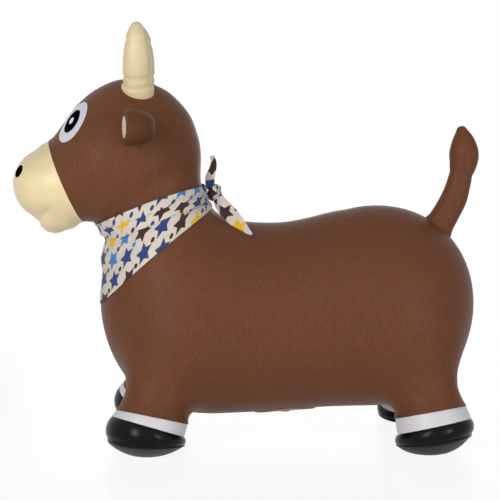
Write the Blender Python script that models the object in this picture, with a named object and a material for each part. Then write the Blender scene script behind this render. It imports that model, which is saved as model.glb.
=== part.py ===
"""Bouncy ride-on bull: an inflatable animal with a moulded vinyl skin, an air valve and a cotton bandana.

The bull faces -X and stands on Z = 0, and its left side is -Y. The skin is one smooth field: a loft of
oval sections from rump to face, with the muzzle and the legs blended on. It is meshed once and then
divided by planes at the paint lines and at the sections that flex. Each division becomes a thin shell.
"""

import math

import bmesh
import bpy
import numpy as np
from mathutils import Matrix, Vector

MM = 0.001

# Skin
WALL = 2.2 * MM
CLEARANCE = 0.3 * MM
SKIN_CELL = 22 * MM
SNAP = 0.3 * MM
LEG_BLEND = 32 * MM
LEG_BLEND_RISE = 12 * MM
LEG_BLEND_LEAST = 0.12
KNEE_BLEND = 10 * MM
MUZZLE_BLEND = 14 * MM
MOUTH_BLEND = 8 * MM
SECTION_DEPTH = 4 * MM
SLOPE_STEP = 0.4 * MM
SETTLE_ROUNDS = 6
SETTLE_LIMIT = 3 * MM
HIT_ROUNDS = 80
HIT_PACE = 0.7
HIT_LIMIT = 25 * MM
HIT_RETURN = 2 * MM
SHARP_ANGLE = math.radians(40)

# Sections of the body, from the rump to the face, in mm: top x, top z, bottom x, bottom z, half width.
SECTIONS_MM = [
    (154, 281.9, 154, 39.4, 114),
    (106.5, 275, 100.7, 38.4, 111),
    (71.5, 266.6, 60, 35.9, 109),
    (41.3, 261.8, 21, 33.2, 108),
    (6.4, 262.2, -15, 31.6, 108),
    (-18, 266.1, -48, 30.9, 108.5),
    (-35, 273.6, -80, 34.8, 108),
    (-45, 284.6, -118, 50.6, 104),
    (-51, 296.6, -148, 78.6, 98),
    (-54, 306.6, -168, 118.6, 91),
    (-55, 315.6, -176, 164.6, 83),
    (-55, 325.6, -171, 211.6, 75),
    (-54.5, 337.6, -168, 244.6, 71),
    (-55, 349.6, -184, 263.6, 73),
    (-58, 365.6, -189, 264.6, 78),
    (-68.8, 392.4, -192, 264.4, 82),
    (-94.2, 418.7, -194, 264, 84),
    (-125, 430.6, -195.5, 263.6, 84),
    (-152, 432.2, -197, 263.2, 82),
    (-181, 419.4, -199.5, 262.1, 76),
    (-203.3, 400, -202.5, 260.6, 69),
    (-221.5, 375.2, -206, 258.9, 62.5),
    (-231.4, 363, -212, 259.4, 59),
    (-243, 354.4, -223, 266.6, 56.6),
]
SECTION_STEPS = 12
RUMP_DEPTH = 119.8 * MM
RUMP_FULLNESS = 2.1
RUMP_SLANT = 0.025

# Muzzle: a large nose ball and a smaller chin ball, both wider than they are tall.
NOSE = Vector((-235.2, 0, 309.3)) * MM
NOSE_RADIUS = 42.8 * MM
CHIN = Vector((-228.6, 0, 272.2)) * MM
CHIN_RADIUS = 22 * MM
NOSE_WIDENING = 1.33
CHIN_WIDENING = 1.6
PAINT_LINE_TOP = Vector((-234, 0, 359.1)) * MM
PAINT_LINE_BOTTOM = Vector((-194, 0, 263.1)) * MM

# Neck section, hidden by the bandana, which lets the head nod. It lies between two sloping planes.
NECK_TOP_FRONT = Vector((-180, 0, 233.6)) * MM
NECK_TOP_BACK = Vector((-50, 0, 297.6)) * MM
NECK_LOW_FRONT = Vector((-178, 0, 205.6)) * MM
NECK_LOW_BACK = Vector((-47, 0, 283.6)) * MM
NOD_AXIS = Vector((-112, 0, 263.6)) * MM

# Legs: the hem is where the brown leg ends and the white sock begins.
FRONT_HEM = Vector((-112, 77, 42)) * MM
REAR_HEM = Vector((212.4, 77, 45.4)) * MM
FRONT_HIP = Vector((-86, 54, 125.6)) * MM
REAR_HIP = Vector((192, 54, 129.6)) * MM
FRONT_LEAN = math.radians(12.2)
REAR_LEAN = math.radians(10)
SPLAY = math.radians(14)
HIP_RADIUS = 50 * MM
SHIN_RADIUS = 34.5 * MM
SHIN_HEIGHT = 21 * MM
HEM_RADIUS = 42.8 * MM
BELOW_HEM = 1 / 3

# Feet
SOCK_INSET = 0.7 * MM
SOCK_FLARE = 1.6 * MM
FRONT_SOCK_TOE = 3.2 * MM
REAR_SOCK_TOE = 1.6 * MM
FRONT_SOCK_HEIGHT = 11.4 * MM
REAR_SOCK_HEIGHT = 16.8 * MM
FRONT_SOCK_WEDGE = math.radians(4.6)
REAR_SOCK_WEDGE = math.radians(2)
FRONT_SOLE_EDGE = 10 * MM
REAR_SOLE_EDGE = 11.5 * MM
FRONT_SOLE_RADIUS = 43.3 * MM
REAR_SOLE_RADIUS = 43 * MM
SOLE_TOE_OUT = 4 * MM
FRONT_SOLE_SHIFT = -7 * MM
REAR_SOLE_SHIFT = 3.5 * MM
HOOF_FULLNESS = 0.17
TREAD_RADIUS = 15 * MM
FRONT_SOLE_CURVE = 1.9
REAR_SOLE_CURVE = 2.5
FRONT_TREAD_SHIFT = 1.5 * MM
REAR_TREAD_SHIFT = -9 * MM
SOLE_THICKNESS = 2.4 * MM
SOLE_TILT = math.radians(6.7)
FRONT_SOLE_PITCH = math.radians(2.5)
REAR_SOLE_PITCH = math.radians(8)
FOOT_SIDES = 20
HOOF_RINGS = 4
SOLE_RINGS = 5

# Horns
HORN_X = -127.6 * MM
HORN_Y = 38 * MM
HORN_LEAN = math.radians(24)
HORN_LENGTH = 79 * MM
HORN_RADIUS = 16.8 * MM
HORN_FULLNESS = 3
HORN_RIM_RADIUS = 18.6 * MM
HORN_RIM_HEIGHT = 6 * MM
HORN_TIP_SHARE = 0.1
HORN_TIP_CROWDING = 1.5
HORN_OPEN_SHARE = 0.7
HORN_SIDES = 16
HORN_RINGS = 8

# Ears
EAR_X = -131 * MM
EAR_BELOW_HORN = 22 * MM
EAR_LENGTH = 48 * MM
EAR_HEIGHT = 41 * MM
EAR_DEPTH = 33 * MM
EAR_FRONT = 12 * MM
EAR_FRONT_BULGE = 0.08
EAR_ROUNDNESS = 0.8
EAR_ROOT_RADIUS = 13 * MM
EAR_ROOT_LENGTH = 9 * MM
EAR_BACK_SWEEP = math.radians(9.5)
EAR_WIDEST = 0.42
EAR_START_SHARE = 0.6
EAR_TIP_SHARE = 0.12
EAR_TIP_CROWDING = 1.6
EAR_OPEN_SHARE = 0.6
EAR_SIDES = 16
EAR_RINGS = 7
LINING_SHARE = 0.6
LINING_MIDDLE = 0.5
LINING_TURN = math.radians(78)
LINING_COLUMNS = 5
LINING_THICKNESS = 1.2 * MM
LINING_LIFT = 0.6 * MM

# Tail: points down its middle with the radius there, in mm.
TAIL_ROOT_LENGTH = 12 * MM
TAIL_MM = [
    (233.2, 258.6, 16.6),
    (242.3, 274.6, 16.2),
    (250.3, 290.6, 15.8),
    (255.2, 306.6, 14.6),
    (258.6, 321.6, 14.3),
    (261.2, 335.6, 17.2),
    (261.3, 347.6, 17.4),
    (260, 361.6, 13),
    (258, 373.6, 6),
]
TAIL_SIDES = 14
TAIL_STEPS = 2
TAIL_FLATNESS = 0.9
TAIL_OPEN_SHARE = 0.75
TAIL_RING_GAP = 4 * MM
SEAT_START = 30 * MM

# Face details, seen from the side: middle, half length, half width and lean from the vertical.
EYE_MIDDLE = Vector((-203.4, 150, 384.2)) * MM
EYE_HALF_LENGTH = 27.2 * MM
EYE_HALF_WIDTH = 20.2 * MM
EYE_LEAN = math.radians(17)
PUPIL_SHARE = 0.56
GLINT_SHARE = 0.16
NOSTRIL_MIDDLE = Vector((-268, 150, 325.8)) * MM
NOSTRIL_HALF_LENGTH = 7.7 * MM
NOSTRIL_HALF_WIDTH = 8 * MM
NOSTRIL_LEAN = math.radians(-24)
PAINT_THICKNESS = 0.6 * MM
PATCH_START = 20 * MM
PATCH_RINGS = 3
PATCH_MIDDLE = 0.12
PATCH_SIDES = 16

# Valve under the belly
VALVE_X = 46 * MM
PLATE_RADIUS = 38 * MM
PLATE_THICKNESS = 1.2 * MM
PLATE_LIFT = 0.6 * MM
VALVE_RADIUS = 8.5 * MM
VALVE_BORE = 5.3 * MM
VALVE_DEPTH = 18 * MM
PLUG_HEAD_RADIUS = 7.4 * MM
PLUG_HEAD_HEIGHT = 1.6 * MM
PLUG_STEM_LENGTH = 12 * MM

# Bandana: the knot's height is measured up from the seat, the lowest place of the back. The wrap lies
# between two sloping planes, which meet the nape a little above and below the knot.
SEAT_X = 24 * MM
CLOTH_LIFT = 0.7 * MM
CLOTH_THICKNESS = 2.0 * MM
KNOT_RISE = 37 * MM
KNOT_SIZE = Vector((8, 12, 10)) * MM
KNOT_SIDES = 12
KNOT_RINGS = 7
KNOT_TURN = math.radians(72)
KNOT_CLEARANCE = 0.8 * MM
WRAP_TOP_FRONT = Vector((-180, 0, 250)) * MM
WRAP_LOW_FRONT = Vector((-176, 0, 165.6)) * MM
WRAP_BACK_X = -45 * MM
WRAP_ABOVE_KNOT = 7.5 * MM
WRAP_BELOW_KNOT = 19 * MM
UPPER_END_RUN = Vector((6, -6, 28)) * MM
UPPER_END_RADIUS = 6 * MM
UPPER_END_NECK = 0.6
UPPER_END_TAPER = 0.6
UPPER_END_RINGS = 6
LOWER_END_FROM_KNOT = Vector((28, -18, 19)) * MM
LOWER_END_RUN = Vector((24, -32, 0)) * MM
LOWER_END_LIFT = 0.9 * MM
LOWER_END_LENGTH = 48 * MM
LOWER_END_WIDTH = 24 * MM

SIDES = ((-1, "left"), (1, "right"))

BROWN = (0.155, 0.061, 0.031)
CREAM = (0.76, 0.63, 0.36)
BLACK = (0.006, 0.006, 0.006)
SOLE_GREY = (0.045, 0.043, 0.05)
WHITE = (0.72, 0.71, 0.73)
PINK = (0.75, 0.57, 0.43)
COTTON = (0.78, 0.72, 0.62)
VINYL_ROUGHNESS = 0.45
CREAM_ROUGHNESS = 0.4
SOFT_ROUGHNESS = 0.5
HOOF_ROUGHNESS = 0.15
SOLE_ROUGHNESS = 0.6
PAINT_ROUGHNESS = 0.2
COTTON_ROUGHNESS = 0.9


def clear_scene():
    for old in list(bpy.data.objects):
        bpy.data.objects.remove(old)


def material(name, colour, roughness):
    finish = bpy.data.materials.new(name)
    finish.use_nodes = True
    shader = finish.node_tree.nodes["Principled BSDF"]
    shader.inputs["Base Color"].default_value = (*colour, 1)
    shader.inputs["Roughness"].default_value = roughness
    shader.inputs["Metallic"].default_value = 0
    return finish


def smooth_rows(rows, steps):
    """Rows read from a Catmull-Rom curve through the given rows."""
    rows = np.array(rows, float)
    before = np.vstack([2 * rows[0] - rows[1], rows[:-2]])
    after = np.vstack([rows[2:], 2 * rows[-1] - rows[-2]])
    out = []
    for p0, p1, p2, p3 in zip(before, rows[:-1], rows[1:], after):
        for t in np.arange(steps) / steps:
            out.append(
                p1 + 0.5 * t * (p2 - p0 + t * (2 * p0 - 5 * p1 + 4 * p2 - p3 + t * (3 * (p1 - p2) + p3 - p0)))
            )
    out.append(rows[-1])
    return np.array(out)


def soft_union(a, b, width):
    """The union of two distance fields, rounded where they meet."""
    near = np.maximum(width - np.abs(a - b), 0) / width
    return np.minimum(a, b) - near * near * width / 4


def oval_distance(a, b, half_a, half_b):
    """About how far points lie outside an oval."""
    reach = np.sqrt((a / half_a) ** 2 + (b / half_b) ** 2)
    slope = np.sqrt((a / half_a**2) ** 2 + (b / half_b**2) ** 2)
    return reach * (reach - 1) / np.maximum(slope, 1e-6)


def ball_distance(p, middle, radius, widening):
    """About how far points lie outside a ball that is drawn out sideways."""
    return np.linalg.norm((p - np.array(middle)) / (1, widening, 1), axis=1) - radius


def cone_distance(p, start, end, start_radius, end_radius):
    """How far points lie outside a round-ended tapered rod."""
    along = np.array(end) - np.array(start)
    t = np.clip((p - np.array(start)) @ along / (along @ along), 0, 1)
    middle = np.array(start) + t[:, None] * along
    return np.linalg.norm(p - middle, axis=1) - (start_radius + t * (end_radius - start_radius))


class Body:
    """The outer surface of the inflated skin, as a field that is negative inside."""

    def __init__(self):
        rows = smooth_rows(SECTIONS_MM, SECTION_STEPS) * MM
        top, bottom = rows[:, 0:2], rows[:, 2:4]
        self.middle = (top + bottom) / 2
        span = top - bottom
        self.half_height = np.linalg.norm(span, axis=1) / 2
        self.up = span / (2 * self.half_height[:, None])
        self.forward = np.stack([-self.up[:, 1], self.up[:, 0]], axis=1)
        self.half_width = rows[:, 4]

    def sections(self, p):
        """The loft: each point is measured in the section whose plane runs through it."""
        flat = p[:, [0, 2]]
        ahead = flat @ self.forward.T - (self.middle * self.forward).sum(1)
        across = flat @ self.up.T - (self.middle * self.up).sum(1)
        near = (across / self.half_height) ** 2 + (ahead / SECTION_DEPTH) ** 2
        i = near.argmin(axis=1)
        rows = np.arange(len(p))
        j = np.clip(i + np.where(ahead[rows, i] > 0, 1, -1), 0, len(self.middle) - 1)
        gap = ahead[rows, i] - ahead[rows, j]
        t = np.clip(ahead[rows, i] / np.where(np.abs(gap) < 1e-9, 1, gap), 0, 1)
        height = self.half_height[i] * (1 - t) + self.half_height[j] * t
        width = self.half_width[i] * (1 - t) + self.half_width[j] * t
        over = across[rows, i] * (1 - t) + across[rows, j] * t
        ends = np.maximum(ahead[:, -1], -ahead[:, 0])
        inside_ends = (i == 0) & (ahead[:, 0] < 0) | (i == len(self.middle) - 1) & (ahead[:, -1] > 0)
        distance = oval_distance(over, p[:, 1], height, width)
        return np.where(inside_ends, np.maximum(distance, ends), distance)

    def rump(self, p):
        """The half egg behind the first section, which keeps that section's oval and bulges highest up."""
        behind, beside, above = (p - np.array([self.middle[0, 0], 0, self.middle[0, 1]])).T
        width, height, power = self.half_width[0], self.half_height[0], RUMP_FULLNESS
        along = np.abs(behind - RUMP_SLANT * above) / RUMP_DEPTH
        hoop = np.maximum(np.hypot(beside / width, above / height), 1e-6)
        reach = (along**power + hoop**power) ** (1 / power)
        hoop_slope = np.hypot(beside / width**2, above / height**2) / hoop
        slope = np.hypot(along ** (power - 1) / RUMP_DEPTH, hoop ** (power - 1) * hoop_slope)
        return (reach - 1) * reach ** (power - 1) / np.maximum(slope, 1e-6)

    def __call__(self, p):
        p = np.asarray(p, float) * (1, 1, 1)
        p[:, 1] = np.abs(p[:, 1])
        field = np.minimum(self.sections(p), self.rump(p))
        nose = ball_distance(p, NOSE, NOSE_RADIUS, NOSE_WIDENING)
        chin = ball_distance(p, CHIN, CHIN_RADIUS, CHIN_WIDENING)
        field = soft_union(field, soft_union(nose, chin, MOUTH_BLEND), MUZZLE_BLEND)
        for leg in LEGS:
            rise = (np.array(leg.hem) - p) @ np.array(leg.down)
            width = LEG_BLEND * np.clip(rise / LEG_BLEND_RISE, LEG_BLEND_LEAST, 1)
            field = soft_union(field, leg.distance(p), width)
        return field

    def outward(self, p):
        """The unit normals of the field at points."""
        slopes = [self(p + SLOPE_STEP * axis) - self(p - SLOPE_STEP * axis) for axis in np.eye(3)]
        slope = np.stack(slopes, axis=1)
        return slope / np.linalg.norm(slope, axis=1)[:, None]

    def settle(self, p):
        """Points moved onto the surface along the field's slope."""
        for _ in range(SETTLE_ROUNDS):
            p = p - np.clip(self(p), -SETTLE_LIMIT, SETTLE_LIMIT)[:, None] * self.outward(p)
        return p

    def hit(self, start, direction):
        """Where rays from outside first meet the surface."""
        p = np.array(start, float)
        for _ in range(HIT_ROUNDS):
            p = p + HIT_PACE * np.clip(self(p), -HIT_RETURN, HIT_LIMIT)[:, None] * np.array(direction)
        return p

    def box(self):
        """Corners of a box round the surface."""
        top = self.middle + self.up * self.half_height[:, None]
        bottom = self.middle - self.up * self.half_height[:, None]
        ends = np.vstack([top, bottom])
        balls = [(NOSE, NOSE_RADIUS), (CHIN, CHIN_RADIUS)]
        balls += [(leg.hip, HIP_RADIUS) for leg in LEGS]
        balls += [(leg.below, leg.below_radius) for leg in LEGS]
        front = min(ends[:, 0].min(), *[point.x - radius for point, radius in balls])
        back = max(self.middle[0, 0] + RUMP_DEPTH, *[point.x + radius for point, radius in balls])
        side = max(self.half_width.max(), *[point.y + radius * NOSE_WIDENING for point, radius in balls])
        low = min(ends[:, 1].min(), *[point.z - radius for point, radius in balls])
        high = max(ends[:, 1].max(), *[point.z + radius for point, radius in balls])
        return np.array((front, -side, low)), np.array((back, side, high))

    def seat(self):
        """The lowest place of the back."""
        return self.hit([[SEAT_X, 0, 2 * self.half_height.max()]], (0, 0, -1))[0]


class Leg:
    """One pair of legs, described on the +Y side."""

    def __init__(self, end, hip, hem, lean, sock_height, sock_wedge, sock_toe, sole_shift, sole_radius,
                 sole_edge, sole_pitch, sole_curve, tread_shift):
        self.end = end
        self.hip = hip
        self.hem = hem
        self.down = Vector((end * math.sin(lean), math.sin(SPLAY), -math.cos(lean))).normalized()
        self.outer = (Vector((end, 0, 0)) - self.down * (end * self.down.x)).normalized()
        self.sock_height = sock_height
        self.sock_wedge = sock_wedge
        self.sock_toe = sock_toe
        self.sole_shift = sole_shift
        self.sole_radius = sole_radius
        self.sole_edge = sole_edge
        self.sole_pitch = sole_pitch
        self.sole_curve = sole_curve
        self.tread_shift = tread_shift
        self.shin = hem - self.down * SHIN_HEIGHT
        self.below = hem + self.down * SHIN_HEIGHT * BELOW_HEM
        self.below_radius = SHIN_RADIUS + (HEM_RADIUS - SHIN_RADIUS) * (1 + BELOW_HEM)
        self.hem_reach = self.below_radius + SHIN_HEIGHT * BELOW_HEM + SKIN_CELL

    def distance(self, p):
        thigh = cone_distance(p, self.hip, self.shin, HIP_RADIUS, SHIN_RADIUS)
        cuff = cone_distance(p, self.shin, self.below, SHIN_RADIUS, self.below_radius)
        return soft_union(thigh, cuff, KNEE_BLEND)


LEGS = [
    Leg(-1, FRONT_HIP, FRONT_HEM, FRONT_LEAN, FRONT_SOCK_HEIGHT, FRONT_SOCK_WEDGE, FRONT_SOCK_TOE,
        FRONT_SOLE_SHIFT, FRONT_SOLE_RADIUS, FRONT_SOLE_EDGE, FRONT_SOLE_PITCH, FRONT_SOLE_CURVE,
        FRONT_TREAD_SHIFT),
    Leg(1, REAR_HIP, REAR_HEM, REAR_LEAN, REAR_SOCK_HEIGHT, REAR_SOCK_WEDGE, REAR_SOCK_TOE,
        REAR_SOLE_SHIFT, REAR_SOLE_RADIUS, REAR_SOLE_EDGE, REAR_SOLE_PITCH, REAR_SOLE_CURVE,
        REAR_TREAD_SHIFT),
]


class Cut:
    """A plane that ends a piece of skin: everything on its away side goes, within reach of its point."""

    def __init__(self, point, away, reach=None):
        self.point = np.array(point)
        self.away = np.array(away)
        self.reach = reach

    def near(self, place):
        return self.reach is None or np.linalg.norm(np.array(place) - self.point) < self.reach

    def apply(self, mesh):
        for corner in mesh.verts:
            height = (np.array(corner.co) - self.point) @ self.away
            if abs(height) < SNAP and self.near(corner.co):
                corner.co -= Vector(self.away) * height
        faces = [face for face in mesh.faces if self.near(face.calc_center_median())]
        edges = {edge for face in faces for edge in face.edges}
        corners = {corner for face in faces for corner in face.verts}
        bmesh.ops.bisect_plane(
            mesh,
            geom=faces + list(edges) + list(corners),
            dist=SNAP / 30,
            plane_co=self.point,
            plane_no=self.away,
            clear_outer=True,
        )


class Skin:
    """The body's surface as quads, and the pieces that planes divide it into."""

    def __init__(self, body):
        self.body = body
        low, high = body.box()
        low = (np.floor(low / SKIN_CELL) - 1) * SKIN_CELL
        counts = np.ceil((high - low) / SKIN_CELL).astype(int) + 2
        corners, self.quads = grid_surface(body, low, counts, SKIN_CELL)
        self.corners = body.settle(corners)

    def piece(self, cuts, inner, outer):
        """A closed wall between two distances from the surface, with its rims in the cutting planes."""
        mesh = bmesh.new()
        corners = [mesh.verts.new(corner) for corner in self.corners]
        for quad in self.quads:
            mesh.faces.new([corners[k] for k in quad])
        bmesh.ops.triangulate(mesh, faces=mesh.faces, quad_method="SHORT_EDGE")
        for cut in cuts:
            cut.apply(mesh)
        loose = [corner for corner in mesh.verts if not corner.link_faces]
        bmesh.ops.delete(mesh, geom=loose, context="VERTS")
        mesh.verts.index_update()
        surface = np.array([corner.co for corner in mesh.verts])
        faces = [[corner.index for corner in face.verts] for face in mesh.faces]
        rim = [(loop.vert.index, loop.link_loop_next.vert.index) for edge in mesh.edges
               if edge.is_boundary for loop in edge.link_loops]
        mesh.free()
        shift = self.rim_shift(surface, cuts)
        count = len(surface)
        walls = [(b, a, a + count, b + count) for a, b in rim]
        lining = [[corner + count for corner in reversed(face)] for face in faces]
        return np.vstack([surface + outer * shift, surface + inner * shift]), faces + lining + walls

    def rim_shift(self, surface, cuts):
        """The way each corner moves to give the wall its thickness: square to the skin, or along its cut."""
        normals = self.body.outward(surface)
        shift = normals.copy()
        for cut in cuts:
            on_cut = np.abs((surface - cut.point) @ cut.away) < SNAP / 10
            if cut.reach is not None:
                on_cut &= np.linalg.norm(surface - cut.point, axis=1) < cut.reach
            flat = normals - (normals @ cut.away)[:, None] * cut.away
            flat /= np.maximum((flat**2).sum(axis=1), 0.5)[:, None]
            shift[on_cut] = flat[on_cut]
        return shift


def grid_surface(field, low, counts, cell):
    """Quads around the inside of a field, with one corner in each grid cell that the surface crosses."""
    steps = np.stack(np.meshgrid(*[np.arange(count) for count in counts], indexing="ij"), axis=-1)
    points = low + steps * cell
    value = field(points.reshape(-1, 3)).reshape(counts)
    total = np.zeros((*(counts - 1), 3))
    crossings = np.zeros(counts - 1)
    crossed_edges = []
    for axis in range(3):
        u, v = (axis + 1) % 3, (axis + 2) % 3
        first = np.take(value, range(counts[axis] - 1), axis)
        second = np.take(value, range(1, counts[axis]), axis)
        crossed = (first < 0) != (second < 0)
        share = np.where(crossed, first / np.where(crossed, first - second, 1), 0)
        place = np.take(points, range(counts[axis] - 1), axis) + share[..., None] * cell * np.eye(3)[axis]
        for du in (0, 1):
            for dv in (0, 1):
                part = [slice(None)] * 3
                part[u] = slice(du, du + counts[u] - 1)
                part[v] = slice(dv, dv + counts[v] - 1)
                part = tuple(part)
                total += np.where(crossed[part][..., None], place[part], 0)
                crossings += crossed[part]
        for edge in np.argwhere(crossed):
            crossed_edges.append((axis, edge, first[tuple(edge)] < 0))
    used = crossings > 0
    number = np.cumsum(used).reshape(used.shape) - 1
    quads = []
    for axis, edge, rising in crossed_edges:
        du, dv = np.eye(3, dtype=int)[[(axis + 1) % 3, (axis + 2) % 3]]
        quad = [number[tuple(edge - step)] for step in (du + dv, dv, 0 * du, du)]
        quads.append(quad if rising else quad[::-1])
    return total[used] / crossings[used][:, None], quads


def add_node(name, corners, faces, colour, roughness, pivot=None):
    """One named solid with its own material, carried by its joint's pivot where it moves."""
    mesh = bmesh.new()
    points = [mesh.verts.new(corner) for corner in corners]
    for face in faces:
        mesh.faces.new([points[k] for k in face])
    bmesh.ops.recalc_face_normals(mesh, faces=mesh.faces)
    data = bpy.data.meshes.new(name)
    mesh.to_mesh(data)
    mesh.free()
    data.shade_smooth()
    data.set_sharp_from_angle(angle=SHARP_ANGLE)
    data.materials.append(material(name, colour, roughness))
    node = bpy.data.objects.new(name, data)
    bpy.context.collection.objects.link(node)
    if pivot is not None:
        node.parent = pivot
        node.matrix_parent_inverse = Matrix.Translation(-pivot.location)
    return node


def add_pivot(name, place, parent=None):
    """An empty on a joint's axis."""
    pivot = bpy.data.objects.new(name, None)
    bpy.context.collection.objects.link(pivot)
    pivot.location = Vector(place)
    pivot.empty_display_size = HORN_RADIUS
    if parent is not None:
        pivot.parent = parent
        pivot.matrix_parent_inverse = Matrix.Translation(-parent.location)
    return pivot


def oval(middle, across, over, half_across, half_over, sides, roundness=1.0):
    """A ring of points round a middle. Below a roundness of one it grows corners."""
    turn = np.arange(sides) * 2 * math.pi / sides
    wide = np.sign(np.cos(turn)) * np.abs(np.cos(turn)) ** roundness
    tall = np.sign(np.sin(turn)) * np.abs(np.sin(turn)) ** roundness
    step = np.outer(wide, np.array(across) * half_across)
    return np.array(middle) + step + np.outer(tall, np.array(over) * half_over)


def ring_solid(rings, closed=False):
    """Rings of equal counts joined in turn, with flat ends or, when closed, the last joined to the first."""
    sides = len(rings[0])
    pairs = [(k, k + 1) for k in range(len(rings) - 1)]
    if closed:
        pairs.append((len(rings) - 1, 0))
    faces = []
    for a, b in pairs:
        for k in range(sides):
            after = (k + 1) % sides
            faces.append((a * sides + k, a * sides + after, b * sides + after, b * sides + k))
    if not closed:
        faces.append(range(sides))
        faces.append(range((len(rings) - 1) * sides, len(rings) * sides))
    return np.vstack(rings), faces


def shrunk(ring, wall):
    """A ring drawn in towards its middle by a wall."""
    spoke = ring - ring.mean(axis=0)
    return ring - wall * spoke / np.linalg.norm(spoke, axis=1)[:, None]


def hollow(rings, wall, open_share):
    """A blind shell: the outer rings run to a closed tip, and the inner ones stop at a share of the way."""
    inner = [shrunk(ring, wall) for ring in rings[: round(len(rings) * open_share)]]
    return ring_solid(inner[::-1] + rings)


def tube(rings, wall):
    """An open sleeve through the rings."""
    return ring_solid(rings + [shrunk(ring, wall) for ring in rings[::-1]], closed=True)


def mirrored(solid, side):
    corners, faces = solid
    return corners * (1, side, 1), faces


def seat_ring(body, ring, axis, lift):
    """A ring dropped along an axis onto the skin, and lifted clear of it."""
    landed = body.hit(ring + SEAT_START * np.array(axis), -np.array(axis))
    return landed + lift * np.array(axis)


def plane_up(front, back):
    """The upward normal of a plane across the body, which two points of the middle plane give."""
    return (back - front).cross(Vector((0, 1, 0))).normalized()


def add_skin(body, head):
    skin = Skin(body)
    low_up = plane_up(NECK_LOW_FRONT, NECK_LOW_BACK)
    top_up = plane_up(NECK_TOP_FRONT, NECK_TOP_BACK)
    hems = []
    for leg in LEGS:
        for side in (-1, 1):
            flip = Vector((1, side, 1))
            hems.append(Cut(leg.hem * flip, leg.down * flip, leg.hem_reach))
    front = plane_up(PAINT_LINE_BOTTOM, PAINT_LINE_TOP)
    above_torso = Cut(NECK_LOW_FRONT - low_up * CLEARANCE, low_up)
    below_neck = Cut(NECK_LOW_FRONT, -low_up)
    above_neck = Cut(NECK_TOP_FRONT - top_up * CLEARANCE, top_up)
    below_head = Cut(NECK_TOP_FRONT, -top_up)
    before_head = Cut(PAINT_LINE_TOP - front * CLEARANCE, front)
    behind_muzzle = Cut(PAINT_LINE_TOP, -front)
    torso = add_node("torso_skin", *skin.piece([above_torso] + hems, -WALL, 0), BROWN, VINYL_ROUGHNESS)
    add_node("neck_skin", *skin.piece([below_neck, above_neck], -WALL, 0), BROWN, VINYL_ROUGHNESS)
    add_node("head_skin", *skin.piece([below_head, before_head], -WALL, 0), BROWN, VINYL_ROUGHNESS, head)
    add_node("muzzle_skin", *skin.piece([below_head, behind_muzzle], -WALL, 0), CREAM, CREAM_ROUGHNESS, head)
    add_bandana_wrap(body, skin)
    return torso


def add_bandana_wrap(body, skin):
    """The folded cotton round the neck, which is deep on the chest and narrow at the nape."""
    knot_height = body.seat()[2] + KNOT_RISE
    top_back = Vector((WRAP_BACK_X, 0, knot_height + WRAP_ABOVE_KNOT))
    low_back = Vector((WRAP_BACK_X, 0, knot_height - WRAP_BELOW_KNOT))
    above = Cut(WRAP_TOP_FRONT, plane_up(WRAP_TOP_FRONT, top_back))
    below = Cut(WRAP_LOW_FRONT, -plane_up(WRAP_LOW_FRONT, low_back))
    cloth = skin.piece([above, below], CLOTH_LIFT, CLOTH_LIFT + CLOTH_THICKNESS)
    add_node("bandana_wrap", *cloth, COTTON, COTTON_ROUGHNESS)


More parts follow.
